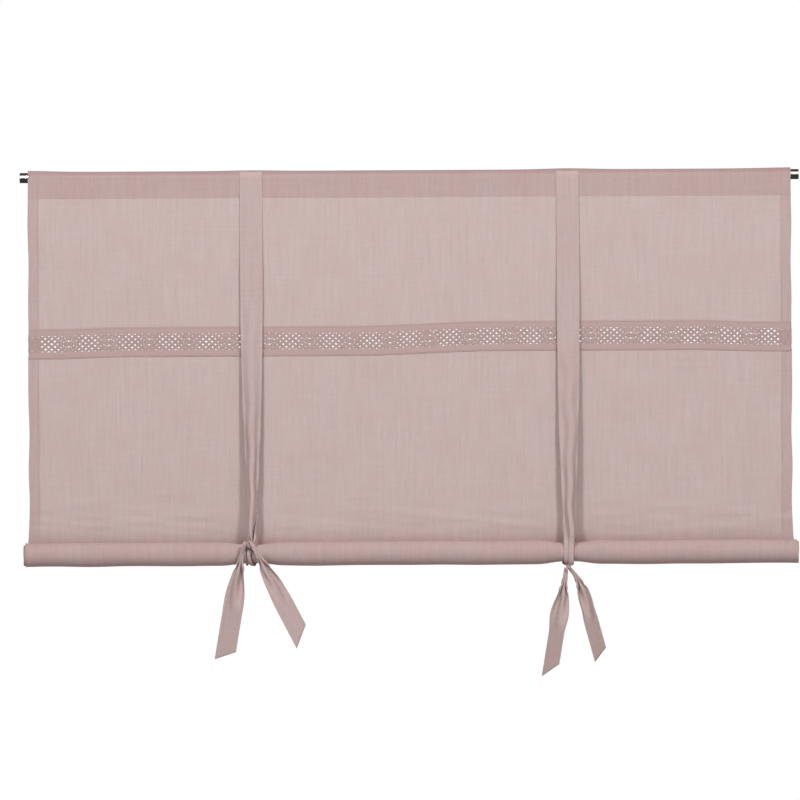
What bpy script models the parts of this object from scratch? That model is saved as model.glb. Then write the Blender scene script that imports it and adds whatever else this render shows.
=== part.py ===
"""Tie-up curtain: a linen-look panel with a lace insertion on a steel rod, its lower part rolled up
to the front and held by two pairs of tie bands.

Metres. The origin is on the rod's axis at mid length, +X runs along the rod, -Y faces the room and
+Z is up. Depths below the rod are positive lengths named drop."""

from math import acos, atan2, ceil, cos, exp, hypot, pi, radians, sin

import bmesh
import bpy
from mathutils import Vector

# Rod
ROD_LENGTH = 1.226
ROD_DIAMETER = 0.016
ROD_WALL = 0.001
ROD_SIDES = 32

# Cloth
PANEL_WIDTH = 1.200
CLOTH_THICKNESS = 0.0006
HEM_WIDTH = 0.017
HEM_THICKNESS = 0.0012
SEAT_GAP = 0.0003  # between pieces that lie on each other

# Heading: the panel's top folded over the rod to the back and sewn to itself
POCKET_SEAM_DROP = 0.033
POCKET_SEAM_HEIGHT = 0.002
POCKET_TURN_IN = 0.003
POCKET_ARC_STEPS = 12

# Lace insertion between the upper and the lower cloth
LACE_DROP = 0.232
LACE_HEIGHT = 0.052
LACE_THICKNESS = 0.0008
LACE_LAP = 0.004
LACE_BORDER = 0.0105
LACE_REPEATS = 19
LACE_THREAD = 0.0028
EYE_LENGTH_SHARE = 0.34
EYE_HEIGHT_SHARE = 0.26
LACE_RISE = 0.0045
LACE_RISE_SPREAD = 0.11

# Roll
ROLL_DIAMETER = 0.039
ROLL_DROP = 0.5925
ROLL_TURNS = 6
ROLL_PITCH = 0.0018
ROLL_STEPS_A_TURN = 18
ROLL_OVERHANG = 0.007
PINCH_DEPTH = 0.003
PINCH_HALF_WIDTH = 0.016
PINCH_SPREAD = 0.045
PINCH_HEIGHT = 0.15

# Tie bands
TIE_OFFSET = 0.249
BAND_WIDTH = 0.036
BAND_THICKNESS = 0.0007
STRAND_WIDTH = 0.0050  # a band crumpled into the knot
KNOT_SPACING = 0.0094
KNOT_SLACK = 0.0018
KNOT_NECK = 0.004
LOOP_RISE = 0.006
LOOP_TURNS = (radians(30), radians(-20))
LOOP_REACHES = (1.05, 1.40)  # to the left of the knot's middle, in knot spacings
ROUNDING_PASSES = 2
DROP_STEPS = 12
HEADING_STEP = radians(15)
WRAP_STEP = radians(12)
KNOT_STEP = radians(30)
TAIL_STEPS = 9
TAIL_OPENING = 0.055
TAIL_SETTLE = 0.012
TURN_START = 0.045
TURN_END = 0.110
LEFT_TIE = {
    "x": -TIE_OFFSET,
    "knot_rise": 0.012,
    "gather": 0.09,
    "front_tail": {"drop": 0.175, "flare": 0.003, "slope": -0.16, "turn": radians(30), "cut": 0.017},
    "back_tail": {"drop": 0.144, "flare": 0.000, "slope": 0.52, "turn": radians(-36), "cut": 0.026},
}
RIGHT_TIE = {
    "x": TIE_OFFSET,
    "knot_rise": -0.025,
    "gather": 0.12,
    "front_tail": {"drop": 0.163, "flare": 0.012, "slope": -0.16, "turn": radians(44), "cut": 0.024},
    "back_tail": {"drop": 0.139, "flare": 0.009, "slope": 0.29, "turn": radians(-36), "cut": 0.016},
}

# Sizes that follow from those above
ROD_RADIUS = ROD_DIAMETER / 2
HALF_PANEL = PANEL_WIDTH / 2
POCKET_RADIUS = ROD_RADIUS + SEAT_GAP + HEM_THICKNESS
PANEL_FRONT_Y = -POCKET_RADIUS
ROLL_RADIUS = ROLL_DIAMETER / 2
ROLL_FACE_RADIUS = ROLL_RADIUS - CLOTH_THICKNESS
ROLL_Y = PANEL_FRONT_Y - ROLL_FACE_RADIUS
PINCHED_RADIUS = ROLL_RADIUS - PINCH_DEPTH
BAND_RADIUS = POCKET_RADIUS + SEAT_GAP + BAND_THICKNESS / 2
BAND_AREA = BAND_WIDTH * BAND_THICKNESS
STRAND_THICKNESS = BAND_AREA / STRAND_WIDTH
TWIST_RADIUS = STRAND_THICKNESS / 2 + KNOT_SLACK
WRAP_RADIUS = PINCHED_RADIUS + SEAT_GAP + 0.4 * STRAND_THICKNESS
KNOT_SEAT_RADIUS = PINCHED_RADIUS + SEAT_GAP + STRAND_THICKNESS / 2
KNOT_RADIUS = KNOT_SEAT_RADIUS + TWIST_RADIUS
TAIL_RADIUS = ROLL_RADIUS + SEAT_GAP + STRAND_THICKNESS / 2
# Where the front band, hanging in a slack curve from the heading, first touches the roll.
TOUCH_ANGLE = atan2(2 * (WRAP_RADIUS - ROLL_Y - BAND_RADIUS), ROLL_DROP)

ROSE_CLOTH = (0.55, 0.42, 0.39)
ROSE_LACE = (0.47, 0.33, 0.31)
NICKEL = (0.72, 0.70, 0.68)


def material(name, colour, roughness, metallic=0.0):
    made = bpy.data.materials.new(name)
    made.use_nodes = True
    shader = made.node_tree.nodes["Principled BSDF"]
    shader.inputs["Base Color"].default_value = (*colour, 1)
    shader.inputs["Roughness"].default_value = roughness
    shader.inputs["Metallic"].default_value = metallic
    return made


def add_object(name, data, collection, finish=None):
    obj = bpy.data.objects.new(name, data)
    collection.objects.link(obj)
    if finish:
        data.materials.append(finish)
    return obj


def smooth_step(share):
    share = min(max(share, 0.0), 1.0)
    return share * share * (3 - 2 * share)


# The cloth

def lace_rise(x):
    """How far the lace and the cloth beside it are drawn up near the right tie."""
    return LACE_RISE * exp(-(((x - TIE_OFFSET) / LACE_RISE_SPREAD) ** 2))


def tie_pull(x):
    """From 0, away from the ties, to 1 where a tie squeezes the roll."""
    away = min(abs(x - TIE_OFFSET), abs(x + TIE_OFFSET))
    return 1 - smooth_step((away - PINCH_HALF_WIDTH) / (PINCH_SPREAD - PINCH_HALF_WIDTH))


def cloth_sheet(name, columns, rows, place, collection, finish):
    """A grid of len(columns) by len(rows) points, each put where place(x, row) says, with the
    cloth's thickness behind it and a thicker hem along both side edges."""
    mesh = bpy.data.meshes.new(name)
    grid = bmesh.new()
    across, along = len(columns) - 1, len(rows) - 1
    bmesh.ops.create_grid(grid, x_segments=across, y_segments=along, size=1)
    hems = []
    for vertex in grid.verts:
        column = columns[round((vertex.co.x + 1) / 2 * across)]
        row = rows[round((vertex.co.y + 1) / 2 * along)]
        vertex.co = place(column, row)
        if abs(column) > HALF_PANEL - HEM_WIDTH - SEAT_GAP:
            hems.append(vertex.index)
    grid.to_mesh(mesh)
    grid.free()
    obj = add_object(name, mesh, collection, finish)
    thickness = obj.vertex_groups.new(name="hem")
    thickness.add(hems, 1.0, "REPLACE")
    solidify = obj.modifiers.new("Cloth thickness", "SOLIDIFY")
    solidify.thickness = HEM_THICKNESS
    solidify.offset = -1
    solidify.vertex_group = thickness.name
    solidify.thickness_vertex_group = CLOTH_THICKNESS / HEM_THICKNESS
    return obj


def side_columns(inner):
    """The panel's x positions: its edges, its hems' inner edges, and the inner ones given."""
    hem = HALF_PANEL - HEM_WIDTH
    edges = [HALF_PANEL, hem, hem - 2 * CLOTH_THICKNESS]
    return sorted([-x for x in edges] + inner + edges)


def upper_panel_profile():
    """The rows from the lace up the front, round the rod and down the back to the turned-in edge,
    as (y, z, share of the lace's rise)."""
    seam_y = PANEL_FRONT_Y + 2 * HEM_THICKNESS + SEAT_GAP
    seam_z = -POCKET_SEAM_DROP
    # The back of the pocket leaves the rod's circle on the line that touches it and meets the seam.
    seam_reach = hypot(seam_y, seam_z)
    last = acos(POCKET_RADIUS / seam_reach) + atan2(seam_z, seam_y)
    rows = [(PANEL_FRONT_Y, -LACE_DROP - LACE_LAP, 1.0)]
    rows += [(PANEL_FRONT_Y, -LACE_DROP * share, share) for share in (0.75, 0.5, 0.25)]
    for step in range(POCKET_ARC_STEPS + 1):
        angle = pi + (last - pi) * step / POCKET_ARC_STEPS
        rows.append((POCKET_RADIUS * cos(angle), POCKET_RADIUS * sin(angle), 0.0))
    rows.append((seam_y, seam_z + POCKET_SEAM_HEIGHT, 0.0))
    rows.append((seam_y, seam_z - POCKET_TURN_IN, 0.0))
    return rows


def make_upper_panel(collection, cutters, finish):
    def place(x, row):
        y, z, rise = row
        return x, y, z + rise * lace_rise(x)

    inner = [HALF_PANEL * share / 6 for share in range(-5, 6)]
    panel = cloth_sheet("upper_panel", side_columns(inner), upper_panel_profile(), place, collection, finish)
    # The row of stitches that closes the rod pocket joins the two layers of the heading.
    mesh = bpy.data.meshes.new("pocket_seam")
    box = bmesh.new()
    bmesh.ops.create_cube(box, size=1)
    bmesh.ops.scale(
        box,
        vec=(PANEL_WIDTH - 2 * CLOTH_THICKNESS, 2 * HEM_THICKNESS + SEAT_GAP - CLOTH_THICKNESS, POCKET_SEAM_HEIGHT),
        verts=box.verts,
    )
    box.to_mesh(mesh)
    box.free()
    seam = add_object("pocket_seam", mesh, cutters)
    seam.location = (0, PANEL_FRONT_Y + HEM_THICKNESS + SEAT_GAP / 2, -POCKET_SEAM_DROP)
    seam.hide_render = True
    seam.display_type = "WIRE"
    union = panel.modifiers.new("Pocket seam", "BOOLEAN")
    union.operation = "UNION"
    union.solver = "EXACT"
    union.object = seam


def lower_panel_profile():
    """The rows from the roll's inner end outwards and up to the lace, as (kind, value): a turn's
    angle for the roll, a height above the roll's axis for the hanging cloth, or the top edge."""
    steps = ROLL_TURNS * ROLL_STEPS_A_TURN
    turns = [("roll", -2 * pi * ROLL_TURNS * (steps - step) / steps) for step in range(steps)]
    hanging = [("hang", PINCH_HEIGHT * share) for share in (0, 0.2, 0.5, 1)]
    return turns + hanging + [("top", 0.0)]


def make_lower_panel(collection, finish):
    def place(x, row):
        kind, value = row
        if kind == "roll":
            radius = ROLL_FACE_RADIUS + ROLL_PITCH * value / (2 * pi)
            radius *= 1 - PINCH_DEPTH / ROLL_RADIUS * tie_pull(x)
            if abs(x) == HALF_PANEL:
                x += ROLL_OVERHANG if x > 0 else -ROLL_OVERHANG
            return x, ROLL_Y + radius * cos(value), -ROLL_DROP + radius * sin(value)
        if kind == "hang":
            pull = PINCH_DEPTH * ROLL_FACE_RADIUS / ROLL_RADIUS * tie_pull(x)
            return x, PANEL_FRONT_Y - pull * smooth_step(1 - value / PINCH_HEIGHT), value - ROLL_DROP
        return x, PANEL_FRONT_Y, LACE_LAP - LACE_DROP - LACE_HEIGHT + lace_rise(x)

    around_tie = [-PINCH_SPREAD, -PINCH_HALF_WIDTH, PINCH_HALF_WIDTH, PINCH_SPREAD]
    inner = [side * TIE_OFFSET + offset for side in (-1, 1) for offset in around_tie]
    cloth_sheet("lower_panel", side_columns(inner + [0.0]), lower_panel_profile(), place, collection, finish)


# The lace

def lace_gaps():
    """The open places of the lace, as polygons round the middle of one repeat: two crescents over
    and under a solid eye, and a lattice of four diamonds where the threads cross between eyes."""
    repeat = PANEL_WIDTH / LACE_REPEATS
    height = LACE_HEIGHT - 2 * LACE_BORDER
    eye_half = repeat * EYE_LENGTH_SHARE / 2
    eye_top = height * EYE_HEIGHT_SHARE / 2
    outer_top = height / 2
    crescent = [
        (-eye_half - LACE_THREAD, LACE_THREAD / 4),
        (-eye_half / 2, eye_top),
        (eye_half / 2, eye_top),
        (eye_half + LACE_THREAD, LACE_THREAD / 4),
        (eye_half / 2 + LACE_THREAD, outer_top),
        (-eye_half / 2 - LACE_THREAD, outer_top),
    ]
    gaps = [crescent, [(x, -z) for x, z in reversed(crescent)]]
    lattice_half = repeat / 2 - eye_half - 1.5 * LACE_THREAD
    for side in (-1, 1):
        across = side * (repeat / 2 - lattice_half / 2)
        wide, tall = lattice_half / 2 - LACE_THREAD / 2, height / 4 - LACE_THREAD / 2
        for up in (-height / 4, height / 4):
            gaps.append([(across - wide, up), (across, up - tall), (across + wide, up), (across, up + tall)])
    return gaps


def make_lace(collection, finish):
    """One flat openwork face, filled repeat by repeat between the outline and its gaps, then given
    the lace's thickness."""
    repeat = PANEL_WIDTH / LACE_REPEATS
    face = bmesh.new()
    for index in range(LACE_REPEATS):
        middle = (index + 0.5) * repeat - HALF_PANEL
        outline = [(side * repeat / 2, up * LACE_HEIGHT / 2) for side, up in ((-1, -1), (1, -1), (1, 1), (-1, 1))]
        edges = []
        for loop in [outline] + lace_gaps():
            corners = [
                face.verts.new((middle + x, 0, z + lace_rise(middle + x))) for x, z in loop
            ]
            edges += [face.edges.new(pair) for pair in zip(corners, corners[1:] + corners[:1])]
        bmesh.ops.triangle_fill(face, edges=edges, use_beauty=True, normal=(0, -1, 0))
    bmesh.ops.remove_doubles(face, verts=face.verts, dist=SEAT_GAP / 10)
    bmesh.ops.recalc_face_normals(face, faces=face.faces)
    mesh = bpy.data.meshes.new("lace_band")
    face.to_mesh(mesh)
    face.free()
    lace = add_object("lace_band", mesh, collection, finish)
    lace.location = (0, PANEL_FRONT_Y - SEAT_GAP - LACE_THICKNESS / 2, -LACE_DROP - LACE_HEIGHT / 2)
    solidify = lace.modifiers.new("Lace thickness", "SOLIDIFY")
    solidify.thickness = LACE_THICKNESS
    solidify.offset = 0


# The rod

def make_rod(collection, finish):
    """The tube's wall turned round the rod's axis, with open ends."""
    outer, inner, half = ROD_RADIUS, ROD_RADIUS - ROD_WALL, ROD_LENGTH / 2
    mesh = bpy.data.meshes.new("rod")
    wall = [(outer, 0, half), (outer, 0, -half), (inner, 0, -half), (inner, 0, half)]
    mesh.from_pydata(wall, [(0, 1), (1, 2), (2, 3), (3, 0)], [])
    rod = add_object("rod", mesh, collection, finish)
    rod.rotation_euler.y = pi / 2
    screw = rod.modifiers.new("Turned wall", "SCREW")
    screw.axis = "Z"
    screw.steps = screw.render_steps = ROD_SIDES
    screw.use_merge_vertices = True
    screw.merge_threshold = 0.00001


# The ties

def roll_point(x, angle, radius):
    """A point round the roll's axis: angle 0 is its front, a quarter turn its top."""
    return Vector((x, ROLL_Y - radius * cos(angle), -ROLL_DROP + radius * sin(angle)))


def spaced(start, end, step):
    """Values from start to end, no further apart than step."""
    count = max(1, ceil(abs(end - start) / step))
    return [start + (end - start) * index / count for index in range(count + 1)]


def knot_frame(tie):
    """The knot's angle round the roll, and how far above the touching point it hangs free. A rise
    below zero puts it further down, on the roll's face."""
    rise = tie["knot_rise"]
    if rise >= 0:
        return TOUCH_ANGLE, rise
    return TOUCH_ANGLE + rise / PINCHED_RADIUS, 0.0


def knot_point(tie, across, turn, reach=TWIST_RADIUS):
    """A point round the knot's own axis, which runs along X in front of the roll: turn 0 is away
    from the roll, a quarter turn is up along the bands. across is in knot spacings."""
    angle, rise = knot_frame(tie)
    outward = Vector((0, -cos(angle), sin(angle)))
    along = Vector((0, sin(angle), cos(angle)))
    middle = roll_point(tie["x"] + (across - 0.5) * KNOT_SPACING, angle, KNOT_RADIUS) + rise * along
    return middle + reach * (cos(turn) * outward + sin(turn) * along)


def heading_points(tie, first, last):
    """The band's sewn end, bent over the top of the heading."""
    return [
        Vector((tie["x"], BAND_RADIUS * cos(angle), BAND_RADIUS * sin(angle)))
        for angle in spaced(first, last, HEADING_STEP)
    ]


def tail_points(tie, tail, start):
    """Straight down from the knot, no further forward than the roll's face needs, flaring to the
    side at first and then drifting that way."""
    bottom = knot_point(tie, 0, 0, 0).z - tail["drop"]
    rest_y = max(start.y, ROLL_Y - TAIL_RADIUS)
    points = []
    for step in range(1, TAIL_STEPS + 1):
        fallen = (start.z - bottom) * (step / TAIL_STEPS) ** 1.4
        y = rest_y + (start.y - rest_y) * exp(-fallen / TAIL_SETTLE)
        x = start.x + tail["flare"] * (1 - exp(-fallen / TAIL_SETTLE)) + tail["slope"] * fallen
        points.append(Vector((x, y, start.z - fallen)))
    return points


def front_route(tie):
    """Down the front from the top of the heading, onto the roll where the knot is below the
    touching point, through the knot and on as a tail. The count of points before the knot and
    before the tail come with it."""
    angle, rise = knot_frame(tie)
    points = heading_points(tie, pi / 2, pi)
    along = Vector((0, sin(angle), cos(angle)))
    if rise:
        landing, wrap = knot_point(tie, 0.5, pi) + STRAND_WIDTH * along, []
    else:
        landing = roll_point(tie["x"], TOUCH_ANGLE, WRAP_RADIUS)
        turns = spaced(TOUCH_ANGLE, angle + STRAND_WIDTH / PINCHED_RADIUS, WRAP_STEP)[1:]
        wrap = [roll_point(tie["x"], turn, WRAP_RADIUS) for turn in turns]
    for step in range(1, DROP_STEPS + 1):
        share = 1 - (1 - step / DROP_STEPS) ** 2
        y = -BAND_RADIUS + (landing.y + BAND_RADIUS) * share**2
        points.append(Vector((tie["x"], y, landing.z * share)))
    points += wrap
    before_knot = len(points)
    points += [knot_point(tie, 0.5 - (turn - pi) / pi, turn) for turn in spaced(pi, 2.25 * pi, KNOT_STEP)]
    # The end comes up out of the knot, bends over and falls in front of it.
    points += [knot_point(tie, -reach, turn, LOOP_RISE) for reach, turn in zip(LOOP_REACHES, LOOP_TURNS)]
    before_tail = len(points)
    points += tail_points(tie, tie["front_tail"], points[-1])
    return points, before_knot, before_tail


def back_route(tie):
    """Down behind the panel from the top of the heading, under the roll, up its face to the knot,
    through it and on as a tail."""
    angle, rise = knot_frame(tie)
    points = heading_points(tie, pi / 2 - SEAT_GAP / BAND_RADIUS, 0)
    start, landing = points[-1], roll_point(tie["x"], pi, WRAP_RADIUS)
    points += [start.lerp(landing, step / 5) for step in range(1, 5)]
    turns = spaced(-pi, angle - STRAND_WIDTH / PINCHED_RADIUS / 2, WRAP_STEP)
    for index, turn in enumerate(turns):
        share = index / (len(turns) - 1)
        radius = WRAP_RADIUS + (KNOT_SEAT_RADIUS - WRAP_RADIUS) * share
        points.append(roll_point(tie["x"] - KNOT_SPACING * smooth_step(share), turn, radius))
    before_knot = len(points)
    points += [knot_point(tie, 0.5 - turn / pi, turn) for turn in spaced(pi, 0, KNOT_STEP)]
    before_tail = len(points)
    points += tail_points(tie, tie["back_tail"], points[-1])
    return points, before_knot, before_tail


def softened(points, first, last):
    """The route with its corners rounded between two of its points."""
    for _ in range(ROUNDING_PASSES):
        middle = [
            (before + 2 * here + after) / 4
            for before, here, after in zip(points[first - 1 :], points[first:last], points[first + 1 :])
        ]
        points = points[:first] + middle + points[last:]
    return points


def band_outline(width):
    """The band's section, in halves of its width and thickness. Its corners are cut by the same
    length at any width, so that the flat band keeps its thickness up to its edges."""
    flat = 1 - STRAND_WIDTH / (2 * width)
    return [(-1, -0.5), (-flat, -1), (flat, -1), (1, -0.5), (1, 0.5), (flat, 1), (-flat, 1), (-1, 0.5)]


def make_strand(name, tie, tail, route, collection, finish):
    """Sweeps the band along its route: flat where it hangs, crumpled where it is tied, with its
    end cut on the slant. Its section keeps the band's area."""
    points, before_knot, before_tail = route
    points = softened(points, before_knot - 1, before_tail + 2)
    travelled = [0.0]
    for here, after in zip(points, points[1:]):
        travelled.append(travelled[-1] + (after - here).length)
    shape = bmesh.new()
    rings = []
    for index, point in enumerate(points):
        forward = (points[min(index + 1, len(points) - 1)] - points[max(index - 1, 0)]).normalized()
        width_axis = Vector((1, 0, 0))
        width_axis = (width_axis - width_axis.dot(forward) * forward).normalized()
        opening, turn = tie["gather"], 0.0
        distance = max(travelled[before_knot] - travelled[index], 0)
        if index > before_tail:
            opening = TAIL_OPENING
            distance = travelled[index] - travelled[before_tail]
            turn = tail["turn"] * smooth_step((distance - TURN_START) / (TURN_END - TURN_START))
        face_axis = forward.cross(width_axis)
        width_axis, face_axis = (
            cos(turn) * width_axis + sin(turn) * face_axis,
            cos(turn) * face_axis - sin(turn) * width_axis,
        )
        distance = max(distance - KNOT_NECK, 0)
        width = STRAND_WIDTH + (BAND_WIDTH - STRAND_WIDTH) * (1 - exp(-distance / opening))
        thickness = BAND_AREA / width
        slant = tail["cut"] / 2 if index == len(points) - 1 else 0.0
        rings.append(
            [
                shape.verts.new(
                    point
                    + across * width / 2 * width_axis
                    + out * thickness / 2 * face_axis
                    - across * slant * forward
                )
                for across, out in band_outline(width)
            ]
        )
    # Both faces of the band are split along the same diagonals, so it keeps its thickness where it turns.
    corners = band_outline(BAND_WIDTH)
    for ring, following in zip(rings, rings[1:]):
        for side in range(len(corners)):
            after = (side + 1) % len(corners)
            low, high = (side, after) if corners[side] < corners[after] else (after, side)
            shape.faces.new((ring[side], ring[after], following[high]))
            shape.faces.new((following[side], following[after], ring[low]))
    shape.faces.new(rings[0])
    shape.faces.new(rings[-1])
    bmesh.ops.recalc_face_normals(shape, faces=shape.faces)
    mesh = bpy.data.meshes.new(name)
    shape.to_mesh(mesh)
    shape.free()
    add_object(name, mesh, collection, finish)


for old in list(bpy.data.objects):
    bpy.data.objects.remove(old, do_unlink=True)
parts = bpy.data.collections.new("tie_up_curtain")
helpers = bpy.data.collections.new("cutters")
bpy.context.scene.collection.children.link(parts)
bpy.context.scene.collection.children.link(helpers)

cloth = material("rose_cloth", ROSE_CLOTH, 0.9)
make_rod(parts, material("polished_nickel", NICKEL, 0.15, metallic=1.0))
make_upper_panel(parts, helpers, cloth)
make_lace(parts, material("rose_lace", ROSE_LACE, 0.9))
make_lower_panel(parts, cloth)
for side_name, tie_sizes in (("left", LEFT_TIE), ("right", RIGHT_TIE)):
    band = material(f"rose_band_{side_name}", ROSE_CLOTH, 0.9)
    make_strand(
        f"front_tie_{side_name}", tie_sizes, tie_sizes["front_tail"], front_route(tie_sizes), parts, band
    )
    make_strand(
        f"back_tie_{side_name}", tie_sizes, tie_sizes["back_tail"], back_route(tie_sizes), parts, band
    )
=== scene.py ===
from math import acos, atan2, ceil, cos, hypot, pi, radians, sin

import bpy
import numpy as np
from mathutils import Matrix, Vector


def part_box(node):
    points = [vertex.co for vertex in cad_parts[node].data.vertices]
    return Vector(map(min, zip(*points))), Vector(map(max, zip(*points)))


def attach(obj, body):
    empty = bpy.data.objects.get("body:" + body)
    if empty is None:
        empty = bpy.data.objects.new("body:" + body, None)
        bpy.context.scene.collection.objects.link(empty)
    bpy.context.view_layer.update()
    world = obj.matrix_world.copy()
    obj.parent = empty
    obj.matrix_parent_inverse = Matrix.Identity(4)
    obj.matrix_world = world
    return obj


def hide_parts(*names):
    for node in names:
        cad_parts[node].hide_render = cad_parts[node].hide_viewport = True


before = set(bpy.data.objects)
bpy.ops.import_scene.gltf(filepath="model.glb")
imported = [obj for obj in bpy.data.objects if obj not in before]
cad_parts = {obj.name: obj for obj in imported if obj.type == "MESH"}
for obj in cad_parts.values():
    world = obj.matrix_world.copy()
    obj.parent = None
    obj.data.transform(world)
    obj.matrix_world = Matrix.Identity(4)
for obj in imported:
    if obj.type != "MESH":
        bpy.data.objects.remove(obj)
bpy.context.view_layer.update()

# The view: a long lens, square to the cloth, from the room side. The curtain hangs a third of a
# degree off level in the picture, so the camera is rolled by that much.
PANEL_FRONT_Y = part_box("upper_panel")[0].y
VIEW_MIDDLE = (-0.0162, -0.3524)
VIEW_WIDTH = 1.2584
VIEW_DISTANCE = 10.0
VIEW_ROLL = radians(0.3)
SENSOR_MM = 36.0

lens = bpy.data.cameras.new("view")
lens.sensor_width = SENSOR_MM
lens.lens = SENSOR_MM * VIEW_DISTANCE / VIEW_WIDTH
lens.clip_end = 4 * VIEW_DISTANCE
camera = bpy.data.objects.new("view", lens)
camera.location = (VIEW_MIDDLE[0], PANEL_FRONT_Y - VIEW_DISTANCE, VIEW_MIDDLE[1])
camera.rotation_euler = (pi / 2, VIEW_ROLL, 0)
bpy.context.scene.collection.objects.link(camera)
bpy.context.scene.camera = camera
bpy.context.scene.view_settings.view_transform = "Standard"


# The studio: a soft box on each side of the camera, so that the bands cast a soft shadow to both
# sides, a weaker one behind, and a dim rosy room, lighter above than below. The picture's ground is
# plain white, and polished metal mirrors a white front wall over a dim floor.
def add_node(tree, kind, inputs=None, **settings):
    """A shader node with its settings, and its sockets given a value or another node's output."""
    made = tree.nodes.new(kind)
    for setting, value in settings.items():
        setattr(made, setting, value)
    for socket, value in (inputs or {}).items():
        if isinstance(value, bpy.types.NodeSocket):
            tree.links.new(value, made.inputs[socket])
        else:
            made.inputs[socket].default_value = value
    return made


def ramp(tree, value, start, end, low=0.0, high=1.0):
    """low where the value is start, high where it is end, and even in between."""
    spans = {"Value": value, "From Min": start, "From Max": end, "To Min": low, "To Max": high}
    return add_node(tree, "ShaderNodeMapRange", spans).outputs[0]


def worked_out(tree, operation, *values):
    """The result of a sum, a product or the like of values and other nodes' outputs."""
    return add_node(tree, "ShaderNodeMath", dict(enumerate(values)), operation=operation).outputs[0]


def mix_shaders(tree, share, first, second):
    """The first shader where the share is 0, the second where it is 1."""
    return add_node(tree, "ShaderNodeMixShader", {0: share, 1: first.outputs[0], 2: second.outputs[0]})


ROOM_LIGHT_BELOW = 0.05
ROOM_LIGHT_ABOVE = 0.37
ROOM_TINT = (1.0, 0.73, 0.71, 1)
WHITE = (1, 1, 1, 1)
MIRRORED_FLOOR = 0.05
MIRRORED_WALL_Z = (-0.12, 0.04)  # from the floor's end to the full wall, in the mirrored direction
MIRRORED_WALL_Y = (-0.35, -0.6)
FRONT_BOX_WATTS = 66.5
FRONT_BOX_PLACE = (1.50, -3.0, 1.60)
REAR_BOX_WATTS = 45.0
REAR_BOX_PLACE = (0.0, 3.0, 0.6)
SOFT_BOX_SIZE = (0.5, 0.9)

room = bpy.data.worlds.new("studio")
bpy.context.scene.world = room
room.use_nodes = True
tree = room.node_tree
tree.nodes.clear()
path = add_node(tree, "ShaderNodeLightPath")
facing = add_node(tree, "ShaderNodeTexCoord").outputs["Generated"]
way = add_node(tree, "ShaderNodeSeparateXYZ", {0: facing})
strength = ramp(tree, way.outputs["Z"], -1.0, 1.0, ROOM_LIGHT_BELOW, ROOM_LIGHT_ABOVE)
over_floor = ramp(tree, way.outputs["Z"], *MIRRORED_WALL_Z)
in_front = ramp(tree, way.outputs["Y"], *MIRRORED_WALL_Y)
wall = worked_out(tree, "MULTIPLY_ADD", over_floor, in_front, MIRRORED_FLOOR)
light = add_node(tree, "ShaderNodeBackground", {"Color": ROOM_TINT, "Strength": strength})
mirrored = add_node(tree, "ShaderNodeBackground", {"Color": WHITE, "Strength": wall})
ground = add_node(tree, "ShaderNodeBackground", {"Color": WHITE, "Strength": 1.0})
with_mirror = mix_shaders(tree, path.outputs["Is Glossy Ray"], light, mirrored)
seen = worked_out(tree, "MAXIMUM", path.outputs["Is Camera Ray"], path.outputs["Is Transmission Ray"])
whole = mix_shaders(tree, seen, with_mirror, ground)
add_node(tree, "ShaderNodeOutputWorld", {"Surface": whole.outputs[0]})


def hang_soft_box(place, watts):
    """A soft box at that place, turned to the middle of the curtain."""
    box = bpy.data.lights.new("soft_box", "AREA")
    box.shape = "RECTANGLE"
    box.size, box.size_y = SOFT_BOX_SIZE
    box.energy = watts
    lamp = bpy.data.objects.new("soft_box", box)
    lamp.location = place
    aim = Vector((0, PANEL_FRONT_Y, VIEW_MIDDLE[1])) - lamp.location
    lamp.rotation_euler = aim.to_track_quat("-Z", "Y").to_euler()
    bpy.context.scene.collection.objects.link(lamp)


for side in (-1, 1):
    hang_soft_box((side * FRONT_BOX_PLACE[0], *FRONT_BOX_PLACE[1:]), FRONT_BOX_WATTS)
hang_soft_box(REAR_BOX_PLACE, REAR_BOX_WATTS)


# The floor: plain and pale, well below the tails. It fades into the white ground towards its edges,
# and polished metal mirrors it dimly.
FLOOR_Z = -1.15
FLOOR_HALF = 2.0
FLOOR_FADES_FROM = 0.7
FLOOR_COLOUR = (0.50, 0.50, 0.50, 1)


def new_material(name):
    """A material, its node tree and its principled shader."""
    made = bpy.data.materials.new(name)
    made.use_nodes = True
    return made, made.node_tree, made.node_tree.nodes["Principled BSDF"]


floor_mesh = bpy.data.meshes.new("floor")
floor_corners = [(x * FLOOR_HALF, y * FLOOR_HALF, FLOOR_Z) for x, y in ((-1, -1), (1, -1), (1, 1), (-1, 1))]
floor_mesh.from_pydata(floor_corners, [], [(0, 1, 2, 3)])
floor = bpy.data.objects.new("floor", floor_mesh)
bpy.context.scene.collection.objects.link(floor)
floor_paint, tree, shader = new_material("floor_paint")
shader.inputs["Base Color"].default_value = FLOOR_COLOUR
shader.inputs["Roughness"].default_value = 0.7
place = add_node(tree, "ShaderNodeTexCoord").outputs["Object"]
flat_place = add_node(tree, "ShaderNodeVectorMath", {0: place, 1: (1, 1, 0)}, operation="MULTIPLY")
away = add_node(tree, "ShaderNodeVectorMath", {0: flat_place.outputs[0]}, operation="LENGTH")
fade = ramp(tree, away.outputs["Value"], FLOOR_FADES_FROM, FLOOR_HALF)
path = add_node(tree, "ShaderNodeLightPath")
shown = worked_out(tree, "MULTIPLY", fade, path.outputs["Is Camera Ray"])
white = add_node(tree, "ShaderNodeEmission", {"Color": WHITE, "Strength": 1.0})
blend = mix_shaders(tree, shown, shader, white)
dim = add_node(tree, "ShaderNodeEmission", {"Color": WHITE, "Strength": MIRRORED_FLOOR})
mirrored = mix_shaders(tree, path.outputs["Is Glossy Ray"], blend, dim)
tree.links.new(mirrored.outputs[0], tree.nodes["Material Output"].inputs["Surface"])
floor_mesh.materials.append(floor_paint)


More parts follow.
